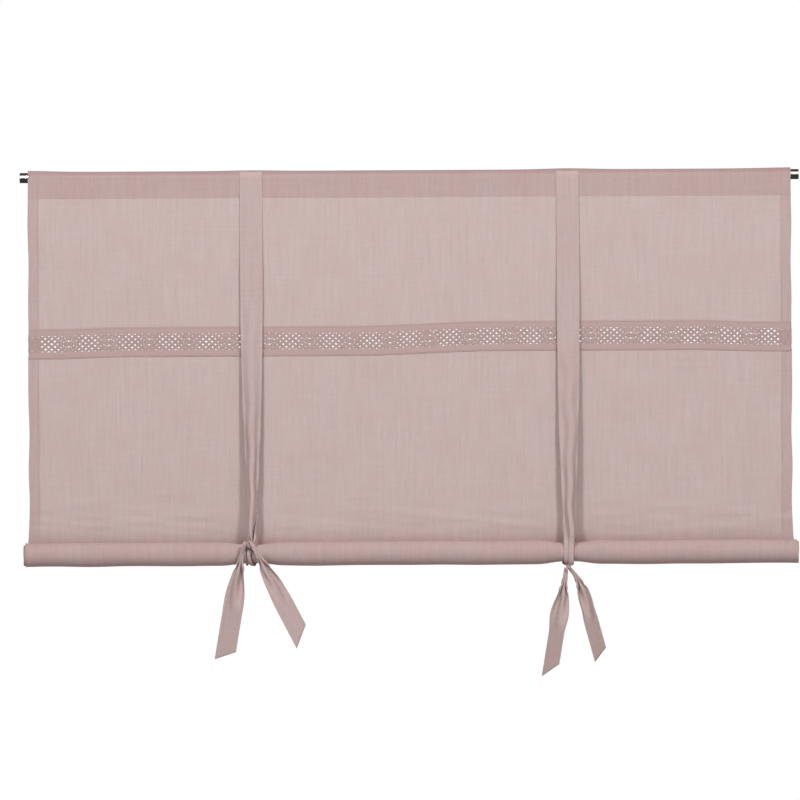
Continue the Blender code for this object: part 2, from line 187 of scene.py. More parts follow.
# The rod: a polished steel tube, cut square, its edges broken. It is slid through the heading and
# its bare ends lie in the window's brackets.
ROD_RADIUS = 0.008
ROD_WALL = 0.001
ROD_EDGE = 0.0003
ROD_SIDES = 96
STEEL_GRAIN = (60, 900, 900)  # grains a metre: drawn out along the tube
STEEL_ROUGHNESS = (0.10, 0.22)
STEEL_DARK = (0.62, 0.61, 0.59, 1)
STEEL_LIGHT = (0.72, 0.71, 0.70, 1)

rod_low, rod_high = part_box("rod")


def add_surface(name, points, lengths, closed_across=False, **marks):
    """A smooth mesh on a grid of points (rows, columns, 3). lengths holds each point's two places on
    the flat material, in metres, and becomes the UV map. Marks are numbers kept at each point."""
    rows, columns = points.shape[:2]
    across = columns if closed_across else columns - 1
    row, column = np.meshgrid(np.arange(rows - 1), np.arange(across), indexing="ij")
    after = (column + 1) % columns
    this_row, next_row = row * columns, (row + 1) * columns
    corners = [this_row + column, this_row + after, next_row + after, next_row + column]
    faces = np.stack(corners, axis=-1).reshape(-1, 4)
    return add_faces(name, points.reshape(-1, 3), faces, lengths.reshape(-1, 2), **marks)


def add_faces(name, points, faces, lengths, **marks):
    """A smooth mesh of four-sided faces, with its UV map and marks, as an object in the scene."""
    mesh = bpy.data.meshes.new(name)
    mesh.vertices.add(len(points))
    mesh.vertices.foreach_set("co", points.astype(np.float32).ravel())
    mesh.loops.add(faces.size)
    mesh.loops.foreach_set("vertex_index", faces.astype(np.int32).ravel())
    mesh.polygons.add(len(faces))
    mesh.polygons.foreach_set("loop_start", np.arange(0, faces.size, 4, dtype=np.int32))
    mesh.update(calc_edges=True)
    flat = mesh.uv_layers.new(name="flat")
    flat.data.foreach_set("uv", lengths[faces.ravel()].astype(np.float32).ravel())
    for mark, values in marks.items():
        kept = mesh.attributes.new(mark, "FLOAT", "POINT")
        kept.data.foreach_set("value", values.astype(np.float32).ravel())
    mesh.shade_smooth()
    made = bpy.data.objects.new(name, mesh)
    bpy.context.scene.collection.objects.link(made)
    return made


def mix_colours(tree, share, first, second, **settings):
    """The first colour where the share is 0, the second where it is 1."""
    inputs = {"Factor": share, "A": first, "B": second}
    return add_node(tree, "ShaderNodeMix", inputs, data_type="RGBA", **settings).outputs["Result"]


half_rod = (rod_high.x - rod_low.x) / 2
bore = ROD_RADIUS - ROD_WALL
edge_turn = np.linspace(0, pi / 2, 4)
outer_edge = np.stack(
    [half_rod - ROD_EDGE * (1 - np.sin(edge_turn)), ROD_RADIUS - ROD_EDGE * (1 - np.cos(edge_turn))], axis=-1
)
inner_edge = np.stack(
    [half_rod - ROD_EDGE * (1 - np.cos(edge_turn)), bore + ROD_EDGE * (1 - np.sin(edge_turn))], axis=-1
)
right_end = np.concatenate([outer_edge, inner_edge])
outline = np.concatenate([right_end, (right_end * (-1, 1))[::-1], right_end[:1]])
turn = np.linspace(0, 2 * pi, ROD_SIDES, endpoint=False)
# The outline, as (place along the rod, radius), turned round the rod's axis.
rod_points = np.stack(
    [
        np.repeat(outline[:, :1], ROD_SIDES, axis=1),
        outline[:, 1:] * np.cos(turn),
        outline[:, 1:] * np.sin(turn),
    ],
    axis=-1,
)
rod_lengths = np.stack(
    [np.broadcast_to(turn * ROD_RADIUS, rod_points.shape[:2]), rod_points[..., 0]], axis=-1
)
rod = add_surface("curtain_rod", rod_points, rod_lengths, closed_across=True)
steel, tree, shader = new_material("polished_steel")
shader.inputs["Metallic"].default_value = 1.0
place = add_node(tree, "ShaderNodeTexCoord").outputs["Object"]
drawn_out = add_node(tree, "ShaderNodeMapping", {"Vector": place, "Scale": STEEL_GRAIN}).outputs[0]
grain = add_node(tree, "ShaderNodeTexNoise", {"Vector": drawn_out, "Scale": 1.0, "Detail": 3.0}).outputs[0]
tree.links.new(ramp(tree, grain, 0.0, 1.0, *STEEL_ROUGHNESS), shader.inputs["Roughness"])
tree.links.new(mix_colours(tree, grain, STEEL_DARK, STEEL_LIGHT), shader.inputs["Base Color"])
rod.data.materials.append(steel)
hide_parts("rod")
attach(rod, "root")


# The upper cloth: one piece of slubby plain weave. Its sides are folded to the back as hems. Its top
# goes over the rod and down the back, where it is turned in and sewn down, and its lower edge lies
# behind the lace.
CLOTH_THICKNESS = 0.00045
LAYER_GAP = 0.0006
HALF_PANEL = 0.600
HEM_WIDTH = 0.017
COLUMN_SPACING = 0.0056
ROW_SPACING = 0.0050
FRONT_Y = PANEL_FRONT_Y + CLOTH_THICKNESS / 2
POCKET_RADIUS = -FRONT_Y
POCKET_SEAM_Z = -0.033
POCKET_SEAM_Y = FRONT_Y + 0.0029
POCKET_EDGE_Z = -0.036
TURN_IN_RADIUS = 0.0009
TURN_IN_LENGTH = 0.009
TIE_OFFSET = 0.249
LACE_TOP_Z = -0.2355
LACE_HEIGHT = 0.047
LACE_LAP = 0.004
LACE_RISE = 0.0066
LACE_DROOP = 0.0028
ROLL_DROP = 0.5925
RISE_START = -0.09
RISE_LENGTH = 0.23
DROOP_START = 0.44
DROOP_LENGTH = 0.12
CALM_HALF = 0.036
FOLDS_FROM_Z = -0.035
FOLDS_GROW_OVER = 0.15
FOLDS_ABOVE_ROLL = 0.01
FOLDS_END_OVER = 0.10
FOLD_DEPTH = 0.0011
FOLD_LENGTHS = ((0.34, 1.9), (0.06, 0.5))  # the longest and the shortest, along X and Z
CREASE_DEPTH = 0.00045
CREASE_LENGTHS = ((0.5, 0.05), (0.13, 0.014))
CREASES_Z = -0.535
CREASES_SPREAD = 0.035
SWAY = 0.0009
SWAY_LENGTHS = ((0.30,), (0.09,))
SWAY_START = 0.5
SWAY_LENGTH = 0.1
POCKET_STAND = 0.0018
POCKET_BULGES = (  # the place along the rod, the half width and the share of the stand
    (-HALF_PANEL, 0.05, 1.0),
    (-TIE_OFFSET, 0.05, 0.55),
    (TIE_OFFSET, 0.05, 0.9),
    (HALF_PANEL, 0.06, 0.7),
)
POCKET_PUCKER = (0.00022, 0.006, 0.022, 0.006)  # depth, reach, longest and shortest wave
LACE_PUCKER = (0.00025, 0.007, 0.03, 0.008)
EDGE = 0.0006  # on each side of a line where the cloth's shade changes
HEM_PAINTED_SHADE = 0.7  # the share of the heading's painted shade that the narrow side hems have, as less light comes through their doubled cloth from behind
TOP_PAINTED_SHADE = 0.9  # how much more painted shade the top of the heading has
TOP_SHADE_Z = 0.001
TOP_SHADE_OVER = 0.004
SINGLE_CLOTH = (0.562, 0.466, 0.447, 1)
# The cloth's colour with painted shade: darker where it lies double and less light comes through from behind.
CLOTH_IN_PAINTED_SHADE = (0.495, 0.382, 0.370, 1)


def smooth_step(share):
    """0 up to 0, 1 from 1, and an even S between."""
    share = np.clip(share, 0.0, 1.0)
    return share * share * (3 - 2 * share)


def ripples(places, seed, longest, shortest, count=14):
    """Sum of sines in places (..., d), with random phases, directions and wave lengths between the
    two (d,) lengths. It stays within about -1 to 1."""
    draw = np.random.default_rng(seed)
    longest, shortest = np.asarray(longest, float), np.asarray(shortest, float)
    share = draw.random((count, 1))
    lengths = longest * (shortest / longest) ** share
    signs = draw.choice((-1.0, 1.0), (count, len(longest)))
    waves = places @ (2 * pi * signs / lengths).T + draw.random(count) * 2 * pi
    return np.sin(waves).sum(axis=-1) / np.sqrt(count)


def lace_rise(x):
    """How far the lace and the cloth beside it are drawn up: an S from the middle to the right tie,
    less a droop at both sides."""
    drawn_up = LACE_RISE * smooth_step((x - RISE_START) / RISE_LENGTH)
    return drawn_up - LACE_DROOP * smooth_step((np.abs(x) - DROOP_START) / DROOP_LENGTH)


def drape(x, z):
    """How far the hanging cloth stands forward of its plane: long soft folds between the heading and
    the roll, flat waves left by rolling it up, and calm cloth behind the bands."""
    places = np.stack(np.broadcast_arrays(x, z), axis=-1)
    calm = 1 - np.exp(-(((np.abs(x) - TIE_OFFSET) / CALM_HALF) ** 4))
    hanging = smooth_step((FOLDS_FROM_Z - z) / FOLDS_GROW_OVER)
    hanging = hanging * smooth_step((z + ROLL_DROP - FOLDS_ABOVE_ROLL) / FOLDS_END_OVER)
    folds = FOLD_DEPTH * hanging * ripples(places, 3, *FOLD_LENGTHS)
    once_rolled = np.exp(-(((z - CREASES_Z) / CREASES_SPREAD) ** 2))
    creases = CREASE_DEPTH * once_rolled * ripples(places, 5, *CREASE_LENGTHS)
    return calm * (folds + creases)


def side_sway(x, z, seed):
    """How far the cloth strays sideways: long waves down it that fade out away from its sides."""
    waves = SWAY * ripples(z[..., None], seed, *SWAY_LENGTHS, 6)
    return waves * smooth_step((np.abs(x) - SWAY_START) / SWAY_LENGTH)


def pucker(x, from_seam, seed, depth, reach, longest, shortest):
    """Small waves along a seam, dying out away from it as exp(-distance / reach)."""
    return depth * np.exp(-from_seam / reach) * ripples(x[..., None], seed, (longest,), (shortest,))


def hemmed_columns(spacing):
    """Across the cloth, from the raw edge of one hem to that of the other: the place along X, how far behind
    the face it lies, the place on the flat cloth and its share of painted shade, which darkens the doubled
    hem because less light comes through it from behind."""
    inner_edge = HALF_PANEL - HEM_WIDTH
    radius = LAYER_GAP / 2
    fold = np.linspace(0, pi, 6)
    plain = np.arange(1, ceil(inner_edge / spacing)) * spacing
    plain = plain[plain < inner_edge - 2 * EDGE]
    face = np.concatenate([plain, [inner_edge - EDGE, inner_edge + EDGE, HALF_PANEL - HEM_WIDTH / 2]])
    hem_back = np.array([HALF_PANEL - HEM_WIDTH / 2, inner_edge + EDGE])
    x = np.concatenate([face, HALF_PANEL - radius + radius * np.sin(fold), hem_back])
    behind = np.concatenate([0 * face, radius * (1 - np.cos(fold)), 0 * hem_back + 2 * radius])
    step = np.hypot(np.diff(x, prepend=0), np.diff(behind, prepend=0))
    flat = np.cumsum(step)
    doubled = HEM_PAINTED_SHADE * (x > inner_edge)
    right_half = (x, behind, flat, doubled)
    left_half = (-x[::-1], behind[::-1], -flat[::-1], doubled[::-1])
    return [np.concatenate([left, [0.0], right]) for left, right in zip(left_half, right_half)]


def outward_left(y, z):
    """The unit normal on the left of a path in the YZ plane, at each of its points."""
    along_y, along_z = np.gradient(y), np.gradient(z)
    size = np.hypot(along_y, along_z)
    return along_z / size, -along_y / size


def travelled(y, z):
    """How far along a path in the YZ plane each of its points lies."""
    return np.concatenate([[0.0], np.cumsum(np.hypot(np.diff(y), np.diff(z)))])


def flat_places(columns, rows):
    """The two places on the flat cloth of every point of a grid."""
    return np.stack(np.meshgrid(columns, rows), axis=-1)


def pocket_slack(x):
    """How far the heading, sewn a little wide, stands up off the rod: a bell curve at each end and at
    each band."""
    return POCKET_STAND * sum(share * np.exp(-(((x - at) / wide) ** 2)) for at, wide, share in POCKET_BULGES)


column_x, column_behind, column_flat, column_doubled = hemmed_columns(COLUMN_SPACING)
lap_z = LACE_TOP_Z - LACE_LAP
# Rows from the lap up to the seam, close together at the seam, and on up to the rod.
front_z = np.concatenate(
    [
        np.linspace(lap_z, POCKET_SEAM_Z - 0.004, round((POCKET_SEAM_Z - lap_z) / ROW_SPACING)),
        POCKET_SEAM_Z + np.array([-0.002, -EDGE, EDGE, 0.002, 0.005]),
        np.linspace(POCKET_SEAM_Z + 0.009, -0.001, 7),
    ]
)
# The back of the pocket leaves the rod's circle on the line that touches it and meets the seam.
seam_away, seam_turn = hypot(POCKET_SEAM_Y, POCKET_SEAM_Z), atan2(POCKET_SEAM_Z, POCKET_SEAM_Y)
last_turn = acos(POCKET_RADIUS / seam_away) + seam_turn
arc = np.linspace(pi, last_turn, 30)
back_share = np.linspace(0, 1, 9)[1:, None]
arc_end = POCKET_RADIUS * np.array([cos(last_turn), sin(last_turn)])
back = arc_end + back_share * (np.array([POCKET_SEAM_Y, POCKET_SEAM_Z]) - arc_end)
fold = np.linspace(0, pi, 7)
turned_y = POCKET_SEAM_Y - TURN_IN_RADIUS * (1 - np.cos(fold))
turned_z = POCKET_EDGE_Z - TURN_IN_RADIUS * np.sin(fold)
inside_z = POCKET_EDGE_Z + TURN_IN_LENGTH * np.array([0.3, 0.65, 1.0])
profile_y = np.concatenate(
    [0 * front_z + FRONT_Y, POCKET_RADIUS * np.cos(arc), back[:, 0], turned_y, 0 * inside_z + turned_y[-1]]
)
profile_z = np.concatenate([front_z, POCKET_RADIUS * np.sin(arc), back[:, 1], turned_z, inside_z])
# The cloth's wrong side is on the right of the path up the front and over the rod.
right_y, right_z = outward_left(profile_y, profile_z)
row_flat = travelled(profile_y, profile_z)
row_count = len(profile_y)

x = np.broadcast_to(column_x, (row_count, len(column_x))).copy()
row, z = np.arange(row_count)[:, None], profile_z[:, None]
on_front = row < len(front_z)
over_rod = ~on_front & (row < len(front_z) + len(arc))
turn = np.arctan2(profile_z, profile_y)[:, None]
stand = np.where(over_rod, pocket_slack(x) * np.clip(np.sin(turn), 0, 1) ** 2, 0.0)
puckers = pucker(x, np.abs(z - POCKET_SEAM_Z), 11, *POCKET_PUCKER)
puckers = puckers + pucker(x, np.abs(z - LACE_TOP_Z), 13, *LACE_PUCKER)
forward = np.where(on_front, drape(x, z) + puckers, 0.0)
inwards = column_behind - stand - forward
rise = np.where(on_front, lace_rise(x) * smooth_step(z / LACE_TOP_Z), 0.0)
upper_points = np.stack(
    [
        x + np.sign(x) * np.where(on_front, side_sway(x, z, 17), 0.0),
        profile_y[:, None] + inwards * right_y[:, None],
        z + inwards * right_z[:, None] + rise,
    ],
    axis=-1,
)
upper_lengths = flat_places(column_flat, row_flat)
# Painted shade: the heading lies double and is darker, most of all over its top, where it stands off the rod
# and no light comes through from behind.
over_top = smooth_step((z - TOP_SHADE_Z) / TOP_SHADE_OVER)
heading = np.where((z > POCKET_SEAM_Z) | ~on_front, 1 + TOP_PAINTED_SHADE * over_top, 0.0)
upper_doubled = np.maximum(np.broadcast_to(column_doubled, x.shape), heading)
upper = add_surface("upper_cloth", upper_points, upper_lengths, doubled=upper_doubled)


def give_thickness(piece, thickness):
    """The cloth's real thickness, half on each side of its middle surface."""
    solidify = piece.modifiers.new("Thickness", "SOLIDIFY")
    solidify.thickness = thickness
    solidify.offset = 0


def scaled_noise(tree, vector, size, detail=2.0):
    """Noise whose grains measure about size metres along the flat cloth's two directions."""
    mapping = add_node(tree, "ShaderNodeMapping", {"Vector": vector, "Scale": (1 / size[0], 1 / size[1], 1)})
    grains = {"Vector": mapping.outputs[0], "Scale": 1.0, "Detail": detail}
    return add_node(tree, "ShaderNodeTexNoise", grains).outputs[0]


def weighted_sum(tree, parts, start):
    """start plus each weight times its input's distance from one half."""
    total = None
    for value, weight in parts:
        base = start - 0.5 * sum(w for _, w in parts) if total is None else total
        total = worked_out(tree, "MULTIPLY_ADD", value, weight, base)
    return total


YARN = 0.00075  # from one yarn to the next
STREAK_WIDTH = 0.0042
WARP_STREAK = 0.085
WEFT_STREAK = 0.10
SLUB_WIDTH = 1.3 * YARN
SLUB_LENGTH = 0.016
CLOUD = (0.05, 0.06)


def weave_finish(name, single, doubled):
    """Plain weave of uneven yarns: thick and thin places run along both yarn directions, the yarns go over
    and under each other, and painted shade darkens the cloth by its mark, where it lies double and less light
    comes through from behind."""
    made, tree, shader = new_material(name)
    flat = add_node(tree, "ShaderNodeUVMap", uv_map="flat").outputs[0]
    warp = scaled_noise(tree, flat, (STREAK_WIDTH, WARP_STREAK), 3.0)
    weft = scaled_noise(tree, flat, (WEFT_STREAK, STREAK_WIDTH), 3.0)
    warp_slub = scaled_noise(tree, flat, (SLUB_WIDTH, SLUB_LENGTH))
    weft_slub = scaled_noise(tree, flat, (SLUB_LENGTH, SLUB_WIDTH))
    cloud = scaled_noise(tree, flat, CLOUD)
    # The wave texture's own length at a scale of 1 is 2 pi / 20, and a yarn is over, then under.
    wave = {"Vector": flat, "Scale": 2 * pi / (20 * 2 * YARN)}
    over = add_node(tree, "ShaderNodeTexWave", wave, bands_direction="X").outputs[1]
    under = add_node(tree, "ShaderNodeTexWave", wave, bands_direction="Y").outputs[1]
    signed = [weighted_sum(tree, [(lifted, 2.0)], 0.0) for lifted in (over, under)]
    crossing = worked_out(tree, "MULTIPLY", *signed)
    # The mark gives the share of painted shade: where the cloth lies double, over the heading's top and just
    # above the roll.
    shade_share = add_node(tree, "ShaderNodeAttribute", attribute_name="doubled").outputs["Fac"]
    ground = mix_colours(tree, shade_share, single, doubled, clamp_factor=False)
    # The crossing darkens the yarns a little where they dip under each other: painted shade. The other parts
    # are the yarns' uneven tone.
    tone_and_crossing_shade = [(warp, 0.22), (weft, 0.09), (warp_slub, 0.15), (weft_slub, 0.08), (crossing, 0.04)]
    value = weighted_sum(tree, tone_and_crossing_shade, 1.0)
    saturation = weighted_sum(tree, [(cloud, 0.45), (warp, 0.25)], 1.0)
    dyed = {"Color": ground, "Value": value, "Saturation": saturation}
    yarn = add_node(tree, "ShaderNodeHueSaturation", dyed)
    tree.links.new(yarn.outputs[0], shader.inputs["Base Color"])
    height = weighted_sum(tree, [(crossing, 0.35), (warp_slub, 0.8), (weft_slub, 0.8)], 0.5)
    weave = add_node(tree, "ShaderNodeBump", {"Height": height, "Distance": 0.0002, "Strength": 0.7})
    soft = {"Height": cloud, "Distance": 0.0012, "Strength": 0.5, "Normal": weave.outputs[0]}
    tree.links.new(add_node(tree, "ShaderNodeBump", soft).outputs[0], shader.inputs["Normal"])
    shader.inputs["Roughness"].default_value = 0.88
    shader.inputs["Specular IOR Level"].default_value = 0.2
    shader.inputs["Sheen Weight"].default_value = 0.12
    shader.inputs["Sheen Roughness"].default_value = 0.5
    return made


rose_cloth = weave_finish("rose_cloth", SINGLE_CLOTH, CLOTH_IN_PAINTED_SHADE)
give_thickness(upper, CLOTH_THICKNESS)
upper.data.materials.append(rose_cloth)
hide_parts("upper_panel")
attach(upper, "root")


# The lower cloth: the same weave, with the same side hems, from behind the lace down to the roll. It
# is wound to the front from its lower edge, in six soft turns, and the bands squeeze the roll a bit.
LACE_BOTTOM_Z = LACE_TOP_Z - LACE_HEIGHT
ROLL_RADIUS = 0.0195
ROLL_FACE_RADIUS = ROLL_RADIUS - CLOTH_THICKNESS / 2
ROLL_Y = FRONT_Y - ROLL_FACE_RADIUS
ROLL_TURNS = 6
ROLL_PITCH = 0.0018
ROLL_OVERHANG = 0.007
PINCH_DEPTH = 0.0042
PINCH_HALF_WIDTH = 0.008
PINCH_SPREAD = 0.050
PINCH_HEIGHT = 0.15
SOFTNESS = 0.00035
SOFT_WAVES = ((0.35, 0.13), (0.07, 0.06))  # along the roll, and round it
ROUND_THE_ROLL = 0.02  # metres that count as one radian for those waves
SOFT_ABOVE = 0.02
OVERHANG_START = 0.53
OVERHANG_LENGTH = 0.07
OVERHANG_ABOVE = 0.012
PAINTED_SHADE_REACH = 0.009
PAINTED_SHADE_ABOVE_ROLL = 1.1
PAINTED_SHADE_AT_TIES = 0.9  # on top of that
LOWER_COLUMN_SPACING = 0.0066


def tie_pull(x):
    """From 0, away from the ties, to 1 where a tie squeezes the roll."""
    away = np.abs(np.abs(x) - TIE_OFFSET)
    return 1 - smooth_step((away - PINCH_HALF_WIDTH) / (PINCH_SPREAD - PINCH_HALF_WIDTH))


column_x, column_behind, column_flat, column_doubled = hemmed_columns(LOWER_COLUMN_SPACING)
outer_turn = np.linspace(0, -2 * pi, 42)
inner_turns = np.linspace(-2 * pi, -2 * pi * ROLL_TURNS, 1 + 20 * (ROLL_TURNS - 1))[1:]
turn = np.concatenate([outer_turn, inner_turns])[::-1]
hang_top = ROLL_DROP + LACE_BOTTOM_Z + LACE_LAP
hang_z = np.concatenate([np.linspace(0.004, 0.06, 16), np.linspace(0.066, hang_top, 44)])
turn_radius = ROLL_FACE_RADIUS + ROLL_PITCH * turn / (2 * pi)
profile_y = np.concatenate([ROLL_Y + turn_radius * np.cos(turn), 0 * hang_z + FRONT_Y])
profile_z = np.concatenate([turn_radius * np.sin(turn) - ROLL_DROP, hang_z - ROLL_DROP])
row_flat = travelled(profile_y, profile_z)
row_count, roll_count = len(profile_y), len(turn)
x = np.broadcast_to(column_x, (row_count, len(column_x))).copy()
in_roll = (np.arange(row_count) < roll_count)[:, None]
row_turn = np.concatenate([turn, 0 * hang_z])[:, None]
z = profile_z[:, None]
above = z + ROLL_DROP

squeeze = 1 - PINCH_DEPTH / ROLL_RADIUS * tie_pull(x)
soft = SOFTNESS * ripples(np.stack([x, ROUND_THE_ROLL * row_turn + 0 * x], axis=-1), 23, *SOFT_WAVES)
roll_reach = np.concatenate([turn_radius, 0 * hang_z])[:, None] * squeeze + soft - column_behind
pull = PINCH_DEPTH * tie_pull(x) * smooth_step(1 - above / PINCH_HEIGHT)
carried_on = soft[roll_count - 1] * np.exp(-np.clip(above, 0, None) / SOFT_ABOVE)
forward = pull + drape(x, z) + pucker(x, np.abs(z - LACE_BOTTOM_Z), 29, *LACE_PUCKER)
hang_y = FRONT_Y - forward + carried_on + column_behind
# The roll's turns slid along each other as it was wound: their ends lie at uneven places.
telescoped = ROLL_OVERHANG * (0.9 + 0.25 * np.cos(0.7 * row_turn + np.sign(x)))
dying_out = telescoped[roll_count] * np.exp(-np.clip(above, 0, None) / OVERHANG_ABOVE)
overhang = np.where(in_roll, telescoped, dying_out)
beyond = smooth_step((np.abs(x) - OVERHANG_START) / OVERHANG_LENGTH) * overhang
beyond = beyond + np.where(in_roll, 0.0, side_sway(x, z, 19))
top_share = smooth_step(above / (ROLL_DROP + LACE_BOTTOM_Z))
lower_points = np.stack(
    [
        x + np.sign(x) * beyond,
        np.where(in_roll, ROLL_Y + roll_reach * np.cos(row_turn), hang_y),
        np.where(in_roll, roll_reach * np.sin(row_turn) - ROLL_DROP, z + top_share * lace_rise(x)),
    ],
    axis=-1,
)
lower_lengths = flat_places(column_flat, row_flat)
# Painted shade: the roll is darker, as its layers let little light through from behind, and so is the cloth
# just above it in the crease the roll shades, most of all beside the ties, because less light comes through
# there from behind.
crease_shade = PAINTED_SHADE_ABOVE_ROLL + PAINTED_SHADE_AT_TIES * tie_pull(x)
near_roll = crease_shade * np.exp(-np.clip(above - ROLL_RADIUS, 0, None) / PAINTED_SHADE_REACH)
lower_doubled = np.maximum(np.broadcast_to(column_doubled, x.shape), np.where(in_roll, 1.0, near_roll))
lower = add_surface("lower_cloth", lower_points, lower_lengths, doubled=lower_doubled)
give_thickness(lower, CLOTH_THICKNESS)
lower.data.materials.append(rose_cloth)
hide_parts("lower_panel")
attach(lower, "root")


# The lace: cotton bobbin lace, sewn over the edges of both cloths. Between its two woven tapes trails
# of three threads zigzag. They leave a lattice of square holes and spread out round each eye, where a
# ring on short bars holds a leaf.
LACE_REPEATS = 19
LACE_BORDER = 0.0108
LACE_REPEAT = 2 * HALF_PANEL / LACE_REPEATS
LACE_MIDDLE_Z = LACE_TOP_Z - LACE_HEIGHT / 2
LACE_Y = PANEL_FRONT_Y - 0.0004
OPEN_HALF = LACE_HEIGHT / 2 - LACE_BORDER
TRAILS = 6
TRAIL_SLOPE = 4 * OPEN_HALF / LACE_REPEAT
TRAIL_PITCH = 0.0066  # square across the trails
TRAIL_NARROW = 0.0040
TRAIL_SPREAD = 0.0047
TRAIL_TIGHTENED = 0.0005  # at the lace's ends
TIGHTENED_OVER = 0.05
HOLES_CLOSE_OVER = 0.002  # beside a hem
TRAIL_UNEVEN = 0.16  # of its width
UNEVEN_LENGTHS = ((0.1, 1.0), (0.012, 0.3))  # along the lace, and from trail to trail
UNDER_TAPE = 0.001
THREAD_OVERLAP = 0.0001
LATTICE_FROM = 0.20  # from the eye, in repeats
LATTICE_OVER = 0.12
THREAD_WIDTH = 0.0012
THREAD_THICKNESS = 0.0008
CROSSING_LIFT = 0.0003
EYE_HALF_LENGTH = 0.0100
EYE_HALF_HEIGHT = 0.0066
LEAF_HALF_LENGTH = 0.0070
LEAF_HALF_HEIGHT = 0.0030
LEAF_THREADS = 7
EYE_BARS = 12
RING_SIZE = 1.06  # of the eye's size
LEAF_TIPS = 1.1  # of the leaf's length, where its threads meet
BAR_ROOTS = 0.9  # of the leaf's outline
TAPE_THICKNESS = 0.0005
TAPE_BUMP = 0.00012
TAPE_STEPS = 400
TAPE_RIBS = 10
LAY_LENGTH = 0.0011  # from one twist of the thread to the next
FLUFF = 0.004
LACE_COLOUR = (0.52, 0.400, 0.385, 1)
# the lace colour in its painted shade
LACE_SHADE = (0.40, 0.290, 0.280, 1)


def swept_threads(paths, width, thickness, sides=6, closed=False):
    """Threads along paths (count, points, 3) that lie in the XZ plane: an oval section, width across
    the path in that plane and thickness along Y. Returns their points, faces and flat places."""
    along = np.gradient(paths, axis=1)
    if closed:
        along[:, 0], along[:, -1] = paths[:, 1] - paths[:, -1], paths[:, 0] - paths[:, -2]
    across = np.stack([along[..., 2], 0 * along[..., 0], -along[..., 0]], axis=-1)
    across /= np.linalg.norm(across, axis=-1, keepdims=True)
    turn = np.linspace(0, 2 * pi, sides, endpoint=False)
    width = np.broadcast_to(width, paths.shape[:2])[..., None, None]
    section = width / 2 * np.cos(turn)[:, None] * across[:, :, None, :]
    section = section + thickness / 2 * np.sin(turn)[:, None] * np.array([0.0, 1.0, 0.0])
    points = paths[:, :, None, :] + section
    count, length = paths.shape[:2]
    places = np.arange(length if closed else length - 1)
    thread, place, side = np.meshgrid(np.arange(count), places, np.arange(sides), indexing="ij")
    first, following = ((thread * length + at) * sides for at in (place, (place + 1) % length))
    after = (side + 1) % sides
    corners = [first + side, following + side, following + after, first + after]
    faces = np.stack(corners, axis=-1).reshape(-1, 4)
    if not closed:
        # Two four-sided faces close a six-sided end.
        starts = (np.arange(count) * length * sides)[:, None]
        ends = starts + (length - 1) * sides
        caps = [starts + (0, 1, 2, 3), starts + (0, 3, 4, 5), ends + (3, 2, 1, 0), ends + (5, 4, 3, 0)]
        faces = np.concatenate([faces, *caps])
    steps = np.linalg.norm(np.diff(paths, axis=1), axis=-1)
    distance = np.concatenate([np.zeros((count, 1)), np.cumsum(steps, axis=1)], axis=1)
    round_it = np.broadcast_to(turn * thickness / 2, points.shape[:3])
    flat = np.stack([round_it, np.broadcast_to(distance[:, :, None], points.shape[:3])], axis=-1)
    return points.reshape(-1, 3), faces, flat.reshape(-1, 2)


def joined(parts):
    """Several lots of points, faces and flat places as one."""
    points, faces, flats, start = [], [], [], 0
    for part_points, part_faces, part_flat in parts:
        points.append(part_points)
        faces.append(part_faces + start)
        flats.append(part_flat)
        start += len(part_points)
    return np.concatenate(points), np.concatenate(faces), np.concatenate(flats)


def from_eye(x):
    """How far along the lace a place lies from its nearest eye, in repeats. The first and the last
    half repeat hold no eye."""
    has_eye = np.abs(x - HALF_PANEL) < HALF_PANEL - LACE_REPEAT / 2
    return np.where(has_eye, (x / LACE_REPEAT + 0.5) % 1 - 0.5, 0.5)


def opened(x, z):
    """Moves a place in the openwork outwards from its eye's middle: in the eye's own measure the
    distance r becomes (r^3 + 1)^(1/3), so that nothing stays inside the ring. That dies out towards
    the tapes."""
    aside = from_eye(x) * LACE_REPEAT
    reach = np.maximum(np.hypot(aside / EYE_HALF_LENGTH, z / EYE_HALF_HEIGHT), 1e-6)
    further = (reach**3 + 1) ** (1 / 3) / reach - 1
    further = further * smooth_step(2 * (1 - np.abs(z) / OPEN_HALF)) * (np.abs(aside) < LACE_REPEAT / 2)
    return x + further * aside, z * (1 + further)


def trail_width(x):
    """Narrow in the middle between two eyes, spread out elsewhere, narrowest towards the lace's ends
    and, in the side hems, where the lace lies double, so wide that no hole is left."""
    lattice = smooth_step((np.abs(from_eye(x)) - LATTICE_FROM) / LATTICE_OVER)
    from_end = HALF_PANEL - np.abs(x - HALF_PANEL)
    tightened = TRAIL_TIGHTENED * np.exp(-from_end / TIGHTENED_OVER)
    width = TRAIL_SPREAD - (TRAIL_SPREAD - TRAIL_NARROW) * lattice - tightened
    in_hem = 1 - smooth_step((from_end - HEM_WIDTH) / HOLES_CLOSE_OVER)
    return width + (TRAIL_PITCH - width) * in_hem


